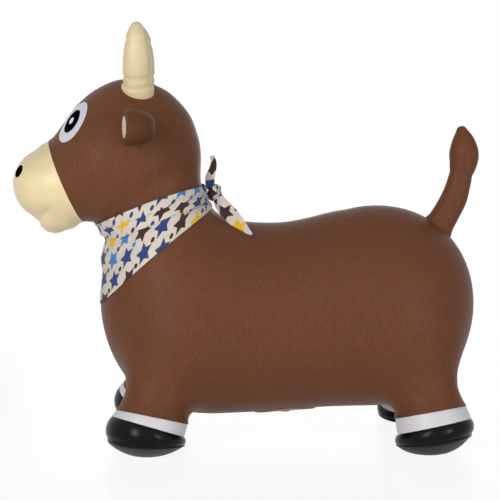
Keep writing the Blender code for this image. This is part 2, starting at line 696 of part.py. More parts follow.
def add_foot(leg, side, name):
    """A white sock, a black hoof wall and a domed sole with a flat tread."""
    lateral = leg.down.cross(leg.outer)
    top_radius = HEM_RADIUS - SOCK_INSET
    low_radius = top_radius + SOCK_FLARE
    sock_down = leg.down * math.cos(leg.sock_wedge) + leg.outer * math.sin(leg.sock_wedge)
    sock_outer = leg.outer * math.cos(leg.sock_wedge) - leg.down * math.sin(leg.sock_wedge)
    sock_end = leg.hem + leg.down * leg.sock_height + leg.outer * leg.sock_toe
    sock_top = oval(leg.hem + leg.down * CLEARANCE, leg.outer, lateral, top_radius, top_radius, FOOT_SIDES)
    sock_low = oval(sock_end, sock_outer, lateral, low_radius, low_radius, FOOT_SIDES)
    add_node(f"sock_{name}", *mirrored(tube([sock_top, sock_low], WALL), side), WHITE, SOFT_ROUGHNESS)

    pitched = Vector((leg.end * math.cos(leg.sole_pitch), 0, math.sin(leg.sole_pitch)))
    tilted = Vector((0, math.cos(SOLE_TILT), math.sin(SOLE_TILT))) * math.copysign(1, lateral.y)
    sole_middle = Vector((leg.hem.x + leg.sole_shift, leg.hem.y + SOLE_TOE_OUT, leg.sole_edge))
    edge = oval(sole_middle, pitched, tilted, leg.sole_radius, leg.sole_radius, FOOT_SIDES)
    hoof_top = oval(sock_end + sock_down * CLEARANCE, sock_outer, lateral, low_radius, low_radius, FOOT_SIDES)
    hoof_low = edge + CLEARANCE * np.array((0, 0, 1))
    spoke = (edge - np.array(sole_middle)) / leg.sole_radius
    fullness = HOOF_FULLNESS * np.linalg.norm(hoof_top - hoof_low, axis=1)[:, None]
    walls = []
    for share in np.linspace(0, 1, HOOF_RINGS):
        walls.append(hoof_top * (1 - share) + hoof_low * share + fullness * math.sin(math.pi * share) * spoke)
    add_node(f"hoof_{name}", *mirrored(tube(walls, WALL), side), BLACK, HOOF_ROUGHNESS)

    outer, inner = [], []
    ground = np.array((sole_middle.x, sole_middle.y, 0))
    tread_step = np.array((leg.tread_shift, 0, 0))
    flat_spoke = spoke * (1, 1, 0)
    edge_height = edge[:, 2:] * (0, 0, 1)
    inside_height = shrunk(edge, WALL)[:, 2:] * (0, 0, 1)
    floor = SOLE_THICKNESS * np.array((0, 0, 1))
    for share in np.linspace(1, 0, SOLE_RINGS):
        radius = TREAD_RADIUS + (leg.sole_radius - TREAD_RADIUS) * share
        drop = share**leg.sole_curve
        middle = ground + (1 - share) * tread_step
        outer.append(middle + flat_spoke * radius + edge_height * drop)
        inner.append(middle + flat_spoke * (radius - WALL) + floor + (inside_height - floor) * drop)
    place = Vector((sole_middle.x + leg.tread_shift, side * sole_middle.y, 0))
    pivot = add_pivot(f"tread_{name}_slide", place)
    sole = ring_solid(inner[::-1] + outer)
    add_node(f"sole_{name}", *mirrored(sole, side), SOLE_GREY, SOLE_ROUGHNESS, pivot)


def horn_seat(body):
    """The place on the crown where a horn's middle line starts."""
    above = body.box()[1][2] + HORN_RIM_HEIGHT
    return body.hit([[HORN_X, HORN_Y, above]], (0, 0, -1))[0]


def add_horn(body, side, name, head):
    """A hollow horn that leans out at its base and bends upright, on a flared rim."""
    middle = horn_seat(body)

    def place(share):
        lean = HORN_LEAN * (1 - share)
        out = (math.cos(lean) - math.cos(HORN_LEAN)) / HORN_LEAN
        rise = (math.sin(HORN_LEAN) - math.sin(lean)) / HORN_LEAN
        return Vector(middle) + Vector((0, out, rise)) * HORN_LENGTH, lean

    def ring(share, radius):
        point, lean = place(share)
        return oval(point, (1, 0, 0), (0, math.cos(lean), -math.sin(lean)), radius, radius, HORN_SIDES)

    axis = Vector((0, math.sin(HORN_LEAN), math.cos(HORN_LEAN)))
    rim_share = HORN_RIM_HEIGHT / HORN_LENGTH
    foot = seat_ring(body, ring(0, HORN_RIM_RADIUS), axis, CLEARANCE)
    foot_inside = seat_ring(body, ring(0, HORN_RIM_RADIUS - WALL), axis, CLEARANCE)
    brim = ring(rim_share, HORN_RIM_RADIUS)
    brim_inside = shrunk(brim, HORN_RIM_RADIUS - HORN_RADIUS + WALL)
    rim = ring_solid([foot, brim, brim_inside, foot_inside], closed=True)
    add_node(f"horn_rim_{name}", *mirrored(rim, side), CREAM, CREAM_ROUGHNESS, head)

    start = rim_share + CLEARANCE / HORN_LENGTH
    shares = 1 - (1 - start) * np.linspace(1, HORN_TIP_SHARE, HORN_RINGS) ** HORN_TIP_CROWDING
    rings = [ring(share, HORN_RADIUS * math.sqrt(1 - share**HORN_FULLNESS)) for share in shares]
    pivot_point = place(rim_share)[0] * Vector((1, side, 1))
    pivot = add_pivot(f"horn_{name}_bend", pivot_point, head)
    horn = hollow(rings, WALL, HORN_OPEN_SHARE)
    add_node(f"horn_{name}", *mirrored(horn, side), CREAM, CREAM_ROUGHNESS, pivot)


def add_ear(body, side, name, head):
    """A cupped ear with a flat front, a pale lining on that front, and a short root."""
    outward = Vector((math.sin(EAR_BACK_SWEEP), math.cos(EAR_BACK_SWEEP), 0))
    forward = Vector((-math.cos(EAR_BACK_SWEEP), math.sin(EAR_BACK_SWEEP), 0))
    upright = Vector((0, 0, 1))
    height = horn_seat(body)[2] - EAR_BELOW_HORN - EAR_HEIGHT / 2
    beside = body.box()[1][1] + EAR_LENGTH
    base = Vector(body.hit([[EAR_X, beside, height]], (0, -1, 0))[0])

    def fullness(share):
        if share < EAR_WIDEST:
            return EAR_START_SHARE + (1 - EAR_START_SHARE) * math.sin(math.pi / 2 * share / EAR_WIDEST)
        return math.sqrt(1 - ((share - EAR_WIDEST) / (1 - EAR_WIDEST)) ** 2)

    def section(share):
        size = fullness(share)
        middle = base + outward * (EAR_ROOT_LENGTH + CLEARANCE + EAR_LENGTH * share) + forward * EAR_FRONT
        half_height = EAR_HEIGHT / 2 * size
        ring = oval(middle, -forward, upright, EAR_DEPTH * size, half_height, EAR_SIDES, EAR_ROUNDNESS)
        ahead = (ring - np.array(middle)) @ np.array(forward)
        return ring - np.outer(np.where(ahead > 0, (1 - EAR_FRONT_BULGE) * ahead, 0), forward)

    foot = oval(base, forward, upright, EAR_ROOT_RADIUS, EAR_ROOT_RADIUS, EAR_SIDES)
    seat = seat_ring(body, foot, outward, CLEARANCE)
    seat_inside = seat_ring(body, shrunk(foot, WALL), outward, CLEARANCE)
    top = foot + EAR_ROOT_LENGTH * np.array(outward)
    root = ring_solid([seat, top, shrunk(top, WALL), seat_inside], closed=True)
    add_node(f"ear_root_{name}", *mirrored(root, side), BROWN, VINYL_ROUGHNESS, head)

    pivot_point = (base + outward * EAR_ROOT_LENGTH) * Vector((1, side, 1))
    pivot = add_pivot(f"ear_{name}_bend", pivot_point, head)
    shares = 1 - np.linspace(1, EAR_TIP_SHARE, EAR_RINGS) ** EAR_TIP_CROWDING
    ear = hollow([section(share) for share in shares], WALL, EAR_OPEN_SHARE)
    add_node(f"ear_{name}", *mirrored(ear, side), BROWN, VINYL_ROUGHNESS, pivot)

    strips = []
    for turn in np.linspace(-LINING_TURN, LINING_TURN, EAR_RINGS):
        share = LINING_MIDDLE * (1 + LINING_SHARE * math.sin(turn))
        half = LINING_SHARE * EAR_HEIGHT / 2 * math.cos(turn)
        middle = base + outward * (EAR_ROOT_LENGTH + EAR_LENGTH * share)
        heights = half * np.linspace(-1, 1, LINING_COLUMNS)
        size = fullness(share)
        rise = np.abs(heights) / (EAR_HEIGHT / 2 * size)
        level = (1 - rise ** (2 / EAR_ROUNDNESS)) ** (EAR_ROUNDNESS / 2)
        front = EAR_FRONT + EAR_FRONT_BULGE * EAR_DEPTH * size * level + LINING_LIFT
        back_points = np.array(middle) + np.outer(heights, upright) + np.outer(front, forward)
        front_points = back_points + LINING_THICKNESS * np.array(forward)
        strips.append(np.vstack([back_points, front_points[::-1]]))
    add_node(f"ear_lining_{name}", *mirrored(ring_solid(strips), side), PINK, SOFT_ROUGHNESS, pivot)


def add_tail(body):
    rows = smooth_rows(TAIL_MM, TAIL_STEPS) * MM
    heading = np.gradient(rows[:, :2], axis=0)
    heading /= np.linalg.norm(heading, axis=1)[:, None]
    rings = []
    for (x, z, radius), (run, rise) in zip(rows, heading):
        rings.append(oval((x, 0, z), (rise, 0, -run), (0, 1, 0), radius, radius * TAIL_FLATNESS, TAIL_SIDES))
    axis = Vector((heading[0, 0], 0, heading[0, 1]))
    root_top = rings[0] + TAIL_ROOT_LENGTH * np.array(axis)
    seat = seat_ring(body, rings[0], axis, CLEARANCE)
    seat_inside = seat_ring(body, shrunk(rings[0], WALL), axis, CLEARANCE)
    root = ring_solid([seat, root_top, shrunk(root_top, WALL), seat_inside], closed=True)
    add_node("tail_root", *root, BROWN, VINYL_ROUGHNESS)
    pivot_point = Vector((rows[0, 0], 0, rows[0, 1])) + axis * TAIL_ROOT_LENGTH
    pivot = add_pivot("tail_bend", pivot_point)
    tail_start = root_top + CLEARANCE * np.array(axis)
    beyond = [(ring.mean(axis=0) - np.array(pivot_point)) @ np.array(axis) for ring in rings]
    above = [ring for ring, run in zip(rings, beyond) if run > TAIL_RING_GAP]
    tail = hollow([tail_start] + above, WALL, TAIL_OPEN_SHARE)
    add_node("tail", *tail, BROWN, VINYL_ROUGHNESS, pivot)


def patch(body, spot, view, along, half_along, half_across, lift, thickness, hole=0.0):
    """A thin oval sheet on the skin where a view meets it. A hole is given as a share of its size."""
    point = body.hit([spot], view)
    facing = (Vector(body.outward(point)[0]) - Vector(view)).normalized()
    along = (along - facing * along.dot(facing)).normalized()
    across = facing.cross(along)
    middle = Vector(point[0]) + facing * PATCH_START
    rings = []
    for share in np.linspace(1, hole or PATCH_MIDDLE, PATCH_RINGS):
        ring = oval(middle, along, across, half_along * share, half_across * share, PATCH_SIDES)
        rings.append(body.hit(ring, -facing))
    below = [ring + lift * body.outward(ring) for ring in rings]
    above = [ring + (lift + thickness) * body.outward(ring) for ring in rings]
    if hole:
        return ring_solid(below + above[::-1], closed=True)
    return ring_solid(below[::-1] + above)


def add_face(body, side, name, head):
    """The painted eye, in three layers, and the nostril."""

    def spot(node, middle, half_length, half_width, lean, lift, colour):
        along = Vector((math.sin(lean), 0, math.cos(lean)))
        sheet = patch(body, middle, (0, -1, 0), along, half_length, half_width, lift, PAINT_THICKNESS)
        add_node(f"{node}_{name}", *mirrored(sheet, side), colour, PAINT_ROUGHNESS, head)

    layer = PAINT_THICKNESS + CLEARANCE
    spot("eye_white", EYE_MIDDLE, EYE_HALF_LENGTH, EYE_HALF_WIDTH, EYE_LEAN, CLEARANCE, WHITE)
    spot("eye_pupil", EYE_MIDDLE, EYE_HALF_LENGTH * PUPIL_SHARE, EYE_HALF_WIDTH * PUPIL_SHARE, EYE_LEAN,
         CLEARANCE + layer, BLACK)
    spot("eye_glint", EYE_MIDDLE, EYE_HALF_LENGTH * GLINT_SHARE, EYE_HALF_WIDTH * GLINT_SHARE, EYE_LEAN,
         CLEARANCE + 2 * layer, WHITE)
    spot("nostril", NOSTRIL_MIDDLE, NOSTRIL_HALF_LENGTH, NOSTRIL_HALF_WIDTH, NOSTRIL_LEAN, CLEARANCE, BLACK)


def add_valve(body, torso):
    """A plate on the belly, a tube through the skin and the plug that closes it."""
    east, north = Vector((1, 0, 0)), Vector((0, 1, 0))
    belly = Vector(body.hit([[VALVE_X, 0, 0]], (0, 0, 1))[0])
    hole = (VALVE_RADIUS + CLEARANCE) / PLATE_RADIUS
    plate = patch(body, (VALVE_X, 0, 0), (0, 0, 1), east, PLATE_RADIUS, PLATE_RADIUS, PLATE_LIFT,
                  PLATE_THICKNESS, hole)
    add_node("valve_plate", *plate, BROWN, VINYL_ROUGHNESS)

    bottom = belly.z - PLATE_LIFT - PLATE_THICKNESS

    def level(radius, height):
        return oval((VALVE_X, 0, height), east, north, radius, radius, PATCH_SIDES)

    top = bottom + VALVE_DEPTH
    body_rings = [level(VALVE_RADIUS, bottom), level(VALVE_RADIUS, top), level(VALVE_BORE, top)]
    sleeve = ring_solid(body_rings + [level(VALVE_BORE, bottom)], closed=True)
    add_node("valve_body", *sleeve, BROWN, SOFT_ROUGHNESS)

    stem = VALVE_BORE - CLEARANCE
    shoulder = bottom - CLEARANCE
    plug_rings = [
        level(PLUG_HEAD_RADIUS, shoulder - PLUG_HEAD_HEIGHT),
        level(PLUG_HEAD_RADIUS, shoulder),
        level(stem, shoulder),
        level(stem, shoulder + PLUG_STEM_LENGTH),
    ]
    pivot = add_pivot("valve_plug_pull", (VALVE_X, 0, shoulder))
    add_node("valve_plug", *ring_solid(plug_rings), BLACK, SOFT_ROUGHNESS, pivot)

    reach = VALVE_RADIUS + CLEARANCE
    cutter_rings = [level(reach, belly.z - VALVE_DEPTH), level(reach, belly.z + VALVE_DEPTH)]
    cutter = add_node("valve_hole", *ring_solid(cutter_rings), BROWN, VINYL_ROUGHNESS)
    cutter.hide_render = True
    cutter.display_type = "WIRE"
    hole_cut = torso.modifiers.new("valve hole", "BOOLEAN")
    hole_cut.object = cutter
    hole_cut.solver = "EXACT"


def add_bandana_ends(body):
    """The knot behind the neck, the short end that stands up and the long end that lies on the back."""
    seat = body.seat()
    nape = body.hit([seat + KNOT_RISE * np.array((0, 0, 1))], (-1, 0, 0))
    outward = Vector(body.outward(nape)[0])
    middle = Vector(nape[0]) + outward * (CLOTH_LIFT + CLOTH_THICKNESS + KNOT_CLEARANCE + KNOT_SIZE.x)
    rings = []
    for turn in np.linspace(-KNOT_TURN, KNOT_TURN, KNOT_RINGS):
        level = middle + Vector((0, 0, KNOT_SIZE.z * math.sin(turn) / math.sin(KNOT_TURN)))
        girth = math.cos(turn)
        rings.append(oval(level, (1, 0, 0), (0, 1, 0), KNOT_SIZE.x * girth, KNOT_SIZE.y * girth, KNOT_SIDES))
    add_node("bandana_knot", *ring_solid(rings), COTTON, COTTON_ROUGHNESS)

    start = middle + Vector((0, 0, KNOT_SIZE.z + CLEARANCE))
    rings = []
    for share in np.linspace(0, 1, UPPER_END_RINGS):
        swell = UPPER_END_NECK + (1 - UPPER_END_NECK) * math.sin(math.pi * share)
        radius = UPPER_END_RADIUS * swell * (1 - UPPER_END_TAPER * share)
        rings.append(oval(start + UPPER_END_RUN * share, (1, 0, 0), (0, 1, 0), radius, radius, KNOT_SIDES))
    add_node("bandana_end_upper", *ring_solid(rings), COTTON, COTTON_ROUGHNESS)

    leaf_middle = middle + LOWER_END_FROM_KNOT + LOWER_END_RUN / 2
    leaf = patch(body, leaf_middle, (0, 0, -1), LOWER_END_RUN, LOWER_END_LENGTH / 2, LOWER_END_WIDTH / 2,
                 LOWER_END_LIFT, CLOTH_THICKNESS)
    add_node("bandana_end_lower", *leaf, COTTON, COTTON_ROUGHNESS)


def main():
    clear_scene()
    body = Body()
    head = add_pivot("neck_nod", NOD_AXIS)
    torso = add_skin(body, head)
    for leg, end in zip(LEGS, ("front", "rear")):
        for side, name in SIDES:
            add_foot(leg, side, f"{end}_{name}")
    for side, name in SIDES:
        add_horn(body, side, name, head)
        add_ear(body, side, name, head)
        add_face(body, side, name, head)
    add_tail(body)
    add_valve(body, torso)
    add_bandana_ends(body)


main()
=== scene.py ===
"""Looks of the bouncy ride-on bull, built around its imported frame.

The skin follows the same field as the part: oval sections from rump to face, with the muzzle and the legs
blended on. It is meshed finely, divided where the paint or the motion divides it, and dressed with procedural
finishes.
"""

import math
from dataclasses import dataclass

import bmesh
import bpy
import numpy as np
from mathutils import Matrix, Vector


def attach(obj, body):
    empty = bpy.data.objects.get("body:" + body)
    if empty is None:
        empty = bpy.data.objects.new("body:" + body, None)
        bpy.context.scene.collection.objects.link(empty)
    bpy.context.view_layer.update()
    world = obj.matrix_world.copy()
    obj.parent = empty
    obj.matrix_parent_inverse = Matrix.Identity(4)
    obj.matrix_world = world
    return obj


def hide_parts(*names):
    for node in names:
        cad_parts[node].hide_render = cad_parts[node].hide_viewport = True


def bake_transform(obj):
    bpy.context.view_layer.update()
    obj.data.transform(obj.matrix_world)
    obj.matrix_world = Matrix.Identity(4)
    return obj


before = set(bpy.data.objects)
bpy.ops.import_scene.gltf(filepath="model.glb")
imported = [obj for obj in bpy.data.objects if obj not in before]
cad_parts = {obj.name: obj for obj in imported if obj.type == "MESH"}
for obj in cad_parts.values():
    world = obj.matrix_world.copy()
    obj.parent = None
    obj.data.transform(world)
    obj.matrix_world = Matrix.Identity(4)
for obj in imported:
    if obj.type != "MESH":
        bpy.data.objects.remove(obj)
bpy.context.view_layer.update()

MM = 0.001

# Skin, with the part's own sections in mm: top x, top z, bottom x, bottom z, half width.
WALL = 2.2 * MM
SKIN_CELL = 20 * MM
SKIN_LEVELS = 2
SNAP = 0.3 * MM
BISECT_SLACK = SNAP / 30
ON_CUT = SNAP / 10
RIM_SLANT_LEAST = 0.5
SPACE_LOW = np.array((-300, -150, -30)) * MM
SPACE_HIGH = np.array((300, 150, 460)) * MM
LEG_BLEND = 32 * MM
LEG_BLEND_RISE = 12 * MM
LEG_BLEND_LEAST = 0.12
KNEE_BLEND = 10 * MM
SECTION_DEPTH = 4 * MM
SLOPE_STEP = 0.4 * MM
SETTLE_LIMIT = 3 * MM
SETTLE_ROUNDS = 4
HIT_ROUNDS = 80
HIT_PACE = 0.7
HIT_LIMIT = 25 * MM
HIT_RETURN = 2 * MM
LEAVE_STEP = 2.5 * MM
LEAVE_HALVINGS = 9
SEAT_CLEARANCE = 30 * MM
ABOVE_HEAD = 0.6
BESIDE_HEAD = 0.3
ABOVE_BACK = 0.35
TINY = 1e-6
PARALLEL = 1e-9
MUZZLE_BLEND = 14 * MM
MOUTH_BLEND = 8 * MM
SECTIONS_MM = [
    (154, 281.9, 154, 39.4, 114),
    (106.5, 275, 100.7, 38.4, 111),
    (71.5, 266.6, 60, 35.9, 109),
    (41.3, 261.8, 21, 33.2, 108),
    (6.4, 262.2, -15, 31.6, 108),
    (-18, 266.1, -48, 30.9, 108.5),
    (-35, 273.6, -80, 34.8, 108),
    (-45, 284.6, -118, 50.6, 104),
    (-51, 296.6, -148, 78.6, 98),
    (-54, 306.6, -168, 118.6, 91),
    (-55, 315.6, -176, 164.6, 83),
    (-55, 325.6, -171, 211.6, 75),
    (-54.5, 337.6, -168, 244.6, 71),
    (-55, 349.6, -184, 263.6, 73),
    (-58, 365.6, -189, 264.6, 78),
    (-68.8, 392.4, -192, 264.4, 82),
    (-94.2, 418.7, -194, 264, 84),
    (-125, 430.6, -195.5, 263.6, 84),
    (-152, 432.2, -197, 263.2, 82),
    (-181, 419.4, -199.5, 262.1, 76),
    (-203.3, 400, -202.5, 260.6, 69),
    (-221.5, 375.2, -206, 258.9, 62.5),
    (-231.4, 363, -212, 259.4, 59),
    (-243, 354.4, -223, 266.6, 56.6),
]
SECTION_STEPS = 12
RUMP_DEPTH = 119.8 * MM
RUMP_FULLNESS = 2.1
RUMP_SLANT = 0.025
NOSE = Vector((-235.2, 0, 309.3)) * MM
NOSE_RADIUS = 42.8 * MM
CHIN = Vector((-228.6, 0, 272.2)) * MM
CHIN_RADIUS = 22 * MM
NOSE_WIDENING = 1.33
CHIN_WIDENING = 1.6
PAINT_LINE_TOP = Vector((-234, 0, 359.1)) * MM
PAINT_LINE_BOTTOM = Vector((-194, 0, 263.1)) * MM
NECK_TOP_FRONT = Vector((-180, 0, 233.6)) * MM
NECK_TOP_BACK = Vector((-50, 0, 297.6)) * MM
NECK_LOW_FRONT = Vector((-178, 0, 205.6)) * MM
NECK_LOW_BACK = Vector((-47, 0, 283.6)) * MM
NECK_BEND = ("body", "head", (-0.1125, 0, 0.2446), (-0.122, 0, 0.2676))

# Legs and feet
SPLAY = math.radians(14)
HIP_RADIUS = 50 * MM
SHIN_RADIUS = 34.5 * MM
SHIN_HEIGHT = 21 * MM
HEM_RADIUS = 42.8 * MM
BELOW_HEM = 1 / 3
FOOT_SIDES = 72
SOCK_INSET = 0.7 * MM
SOCK_FLARE = 1.6 * MM
SOCK_TUCK = 0.8 * MM
SOCK_RISE = 1.5 * MM
SOCK_BULGE = 0.4 * MM
SOCK_RINGS = 9
HOOF_FULLNESS = 0.17
HOOF_FULLEST = 0.9
HOOF_TUCK = 0.6 * MM
HOOF_SHARES = np.concatenate([[0, 0.02, 0.05], np.linspace(0.1, 1, 26)])
HOOF_ROUND = 0.9 * MM
HOOF_ROUND_FADE = 0.03
HOOF_LIP = 0.7 * MM
HOOF_LIP_AT = 0.9
HOOF_LIP_WIDTH = 0.07
HOOF_GROOVE = 0.6 * MM
HOOF_GROOVE_AT = 0.76
HOOF_EDGE_TUCK = 1.2 * MM
HOOF_EDGE_AT = 0.94
HOOF_EDGE_SPAN = 0.06
HOOF_SQUASH_HEIGHT = 18 * MM
SOLE_TOE_OUT = 4 * MM
SOLE_TILT = math.radians(6.7)
SOLE_THICKNESS = 2.4 * MM
SOLE_LIP_INSET = 2 * MM
SOLE_LIP_RISE = 1 * MM
SOLE_EDGE_INSET = 0.8 * MM
SOLE_SHARES = np.linspace(0.99, 0, 16)
SOLE_INNER_RINGS = 12
SOLE_INNER_RAMP = 4
TREAD_RADIUS = 15 * MM
TREAD_SHARES = (0.66, 0.33)

# Horns, ears and tail
HORN_X = -127.6 * MM
HORN_Y = 38 * MM
HORN_LEAN = math.radians(24)
HORN_LENGTH = 79 * MM
HORN_RADIUS = 16.8 * MM
HORN_FULLNESS = 3
HORN_RIM_RADIUS = 18.6 * MM
HORN_RIM_HEIGHT = 6 * MM
HORN_SIDES = 56
HORN_RIM_FLARE = 0.4 * MM
HORN_SINK = 1 * MM
# Share of the rim's height, and how far the rim stands out there in mm
HORN_BRIM_MM = ((0.25, 0.4), (0.5, 0.35), (0.72, 0.05), (0.86, -0.5), (0.95, -1.3), (1.0, -2.5))
# Share of the horn's length, height in mm and width of each ring bulge or groove
HORN_RINGS = (
    (0.21, -1.2, 0.026),
    (0.29, 0.4, 0.05),
    (0.48, 0.4, 0.12),
    (0.73, -1.1, 0.028),
    (0.81, 0.4, 0.05),
)
HORN_FACETS = 9
HORN_FACET_DEPTH = 0.012
HORN_STEPS = 44
HORN_CROWDING = 1.5
HORN_GROOVE = 0.9 * MM
HORN_GROOVE_FADE = 1.2
HORN_LEAST = 0.6 * MM
HORN_TIP = 0.25 * MM
HORN_INNER = (24, 14, 6, 0)
EAR_X = -131 * MM
EAR_BELOW_HORN = 22 * MM
EAR_LENGTH = 48 * MM
EAR_HEIGHT = 41 * MM
EAR_DEPTH = 33 * MM
EAR_ROOT_RADIUS = 13 * MM
EAR_ROOT_LENGTH = 9 * MM
EAR_BACK_SWEEP = math.radians(9.5)
EAR_WIDEST = 0.42
EAR_FRONT = 12 * MM
EAR_FRONT_BULGE = 0.08
EAR_ROUNDNESS = 0.8
EAR_START_SHARE = 0.6
LINING_MIDDLE = 0.5
EAR_SIDES = 56
LINING_SHARE = 0.6
LINING_LIFT = 0.5 * MM
LINING_PUFF = 0.9 * MM
LINING_SINK = 0.6 * MM
LINING_TURNS = np.radians(np.linspace(-84, 84, 25))
LINING_SPREAD = np.sin(np.linspace(-1, 1, 17) * math.pi / 2)
EAR_SEAT_FLARE = 3 * MM
EAR_SINK = 1.2 * MM
EAR_WAIST = 1.6 * MM
EAR_ROOT_SHARES = np.linspace(0.15, 1, 8)
EAR_STEPS = 34
EAR_CROWDING = 1.6
EAR_TIP_SHARE = 0.9995
EAR_INNER = (18, 9, 0)
# Tail rows: x, z and radius in mm
TAIL_MM = [
    (233.2, 258.6, 16.6),
    (242.3, 274.6, 16.2),
    (250.3, 290.6, 15.8),
    (255.2, 306.6, 14.6),
    (258.6, 321.6, 14.3),
    (261.2, 335.6, 17.2),
    (261.3, 347.6, 17.4),
    (260, 361.6, 13),
    (258, 373.6, 6),
]
TAIL_ROOT_LENGTH = 12 * MM
TAIL_SIDES = 40
TAIL_FLATNESS = 0.9
TUFT_START = 321 * MM
TUFT_LIP = 0.6 * MM
TUFT_LIP_WIDTH = 4 * MM
TAIL_STEPS = 8
# How far past the last row each ring of the tip lies in mm, and its share of that row's radius
TAIL_TIP_MM = ((1.6, 0.86), (2.8, 0.62), (3.5, 0.36), (3.8, 0.08))
TAIL_FLARE = 3.2 * MM
TAIL_SINK = 1.5 * MM
TAIL_GAP = 2 * MM
TAIL_ROOT_SHARES = np.linspace(0.2, 1, 7)
TAIL_INNER = (20, 10, 0)

# Face
EYE_MIDDLE = Vector((-203.4, 150, 384.2)) * MM
EYE_HALF_LENGTH = 27.2 * MM
EYE_HALF_WIDTH = 20.2 * MM
EYE_LEAN = math.radians(17)
PUPIL_SHARE = 0.56
GLINT_SHARE = 0.16
NOSTRIL_MIDDLE = Vector((-268, 150, 325.8)) * MM
NOSTRIL_HALF_LENGTH = 7.7 * MM
NOSTRIL_HALF_WIDTH = 8 * MM
NOSTRIL_LEAN = math.radians(-24)
PATCH_START = 20 * MM
PATCH_SIDES = 64
PATCH_RINGS = 10
PATCH_CORE = 0.06
PATCH_SINK = 0.5 * MM
PATCH_ROUNDING = 6
PAINT_LIFT = 0.15 * MM
PUPIL_LIFT = 0.7 * MM
GLINT_LIFT = 1.25 * MM
PAINT_CROWN = 0.35 * MM

# Valve
VALVE_X = 46 * MM
PLATE_RADIUS = 38 * MM
VALVE_RADIUS = 8.5 * MM
VALVE_BORE = 5.3 * MM
PLUG_HEAD_RADIUS = 7.4 * MM
STEM_RADIUS = VALVE_BORE - 0.3 * MM
PLATE_LIFT = 0.3 * MM
PLATE_CROWN = 1.2 * MM
# Radius, and height above the belly in mm
TUBE_PROFILE = (
    (VALVE_RADIUS - 0.4 * MM, -2.0),
    (VALVE_RADIUS, -1.5),
    (VALVE_RADIUS, 16),
    (VALVE_BORE, 16),
    (VALVE_BORE, -1.2),
    (VALVE_BORE + 0.8 * MM, -2.0),
)
PLUG_PROFILE = (
    (PLUG_HEAD_RADIUS * 0.35, -3.4),
    (PLUG_HEAD_RADIUS * 0.5, -3.9),
    (PLUG_HEAD_RADIUS * 0.88, -3.9),
    (PLUG_HEAD_RADIUS, -3.4),
    (PLUG_HEAD_RADIUS, -2.5),
    (PLUG_HEAD_RADIUS - 0.4 * MM, -2.2),
    (STEM_RADIUS, -2.2),
    (STEM_RADIUS, 8),
    (STEM_RADIUS - 1.2 * MM, 9.8),
)

SIDES = ((-1, "left"), (1, "right"))


def smooth_rows(rows, steps):
    """Rows read from a Catmull-Rom curve through the given rows."""
    rows = np.array(rows, float)
    before = np.vstack([2 * rows[0] - rows[1], rows[:-2]])
    after = np.vstack([rows[2:], 2 * rows[-1] - rows[-2]])
    out = []
    for p0, p1, p2, p3 in zip(before, rows[:-1], rows[1:], after):
        for t in np.arange(steps) / steps:
            out.append(
                p1 + 0.5 * t * (p2 - p0 + t * (2 * p0 - 5 * p1 + 4 * p2 - p3 + t * (3 * (p1 - p2) + p3 - p0)))
            )
    out.append(rows[-1])
    return np.array(out)


def hump(value, middle, width):
    """One at a middle, falling off smoothly over a width."""
    return math.exp(-(((value - middle) / width) ** 2))


def soft_union(a, b, width):
    """The union of two distance fields, rounded where they meet."""
    near = np.maximum(width - np.abs(a - b), 0) / width
    return np.minimum(a, b) - near * near * width / 4


def oval_distance(a, b, half_a, half_b):
    """About how far points lie outside an oval."""
    reach = np.sqrt((a / half_a) ** 2 + (b / half_b) ** 2)
    slope = np.sqrt((a / half_a**2) ** 2 + (b / half_b**2) ** 2)
    return reach * (reach - 1) / np.maximum(slope, TINY)


def ball_distance(p, middle, radius, widening):
    """About how far points lie outside a ball that is drawn out sideways."""
    return np.linalg.norm((p - np.array(middle)) / (1, widening, 1), axis=1) - radius


def cone_distance(p, start, end, start_radius, end_radius):
    """How far points lie outside a round-ended tapered rod."""
    along = np.array(end) - np.array(start)
    t = np.clip((p - np.array(start)) @ along / (along @ along), 0, 1)
    middle = np.array(start) + t[:, None] * along
    return np.linalg.norm(p - middle, axis=1) - (start_radius + t * (end_radius - start_radius))


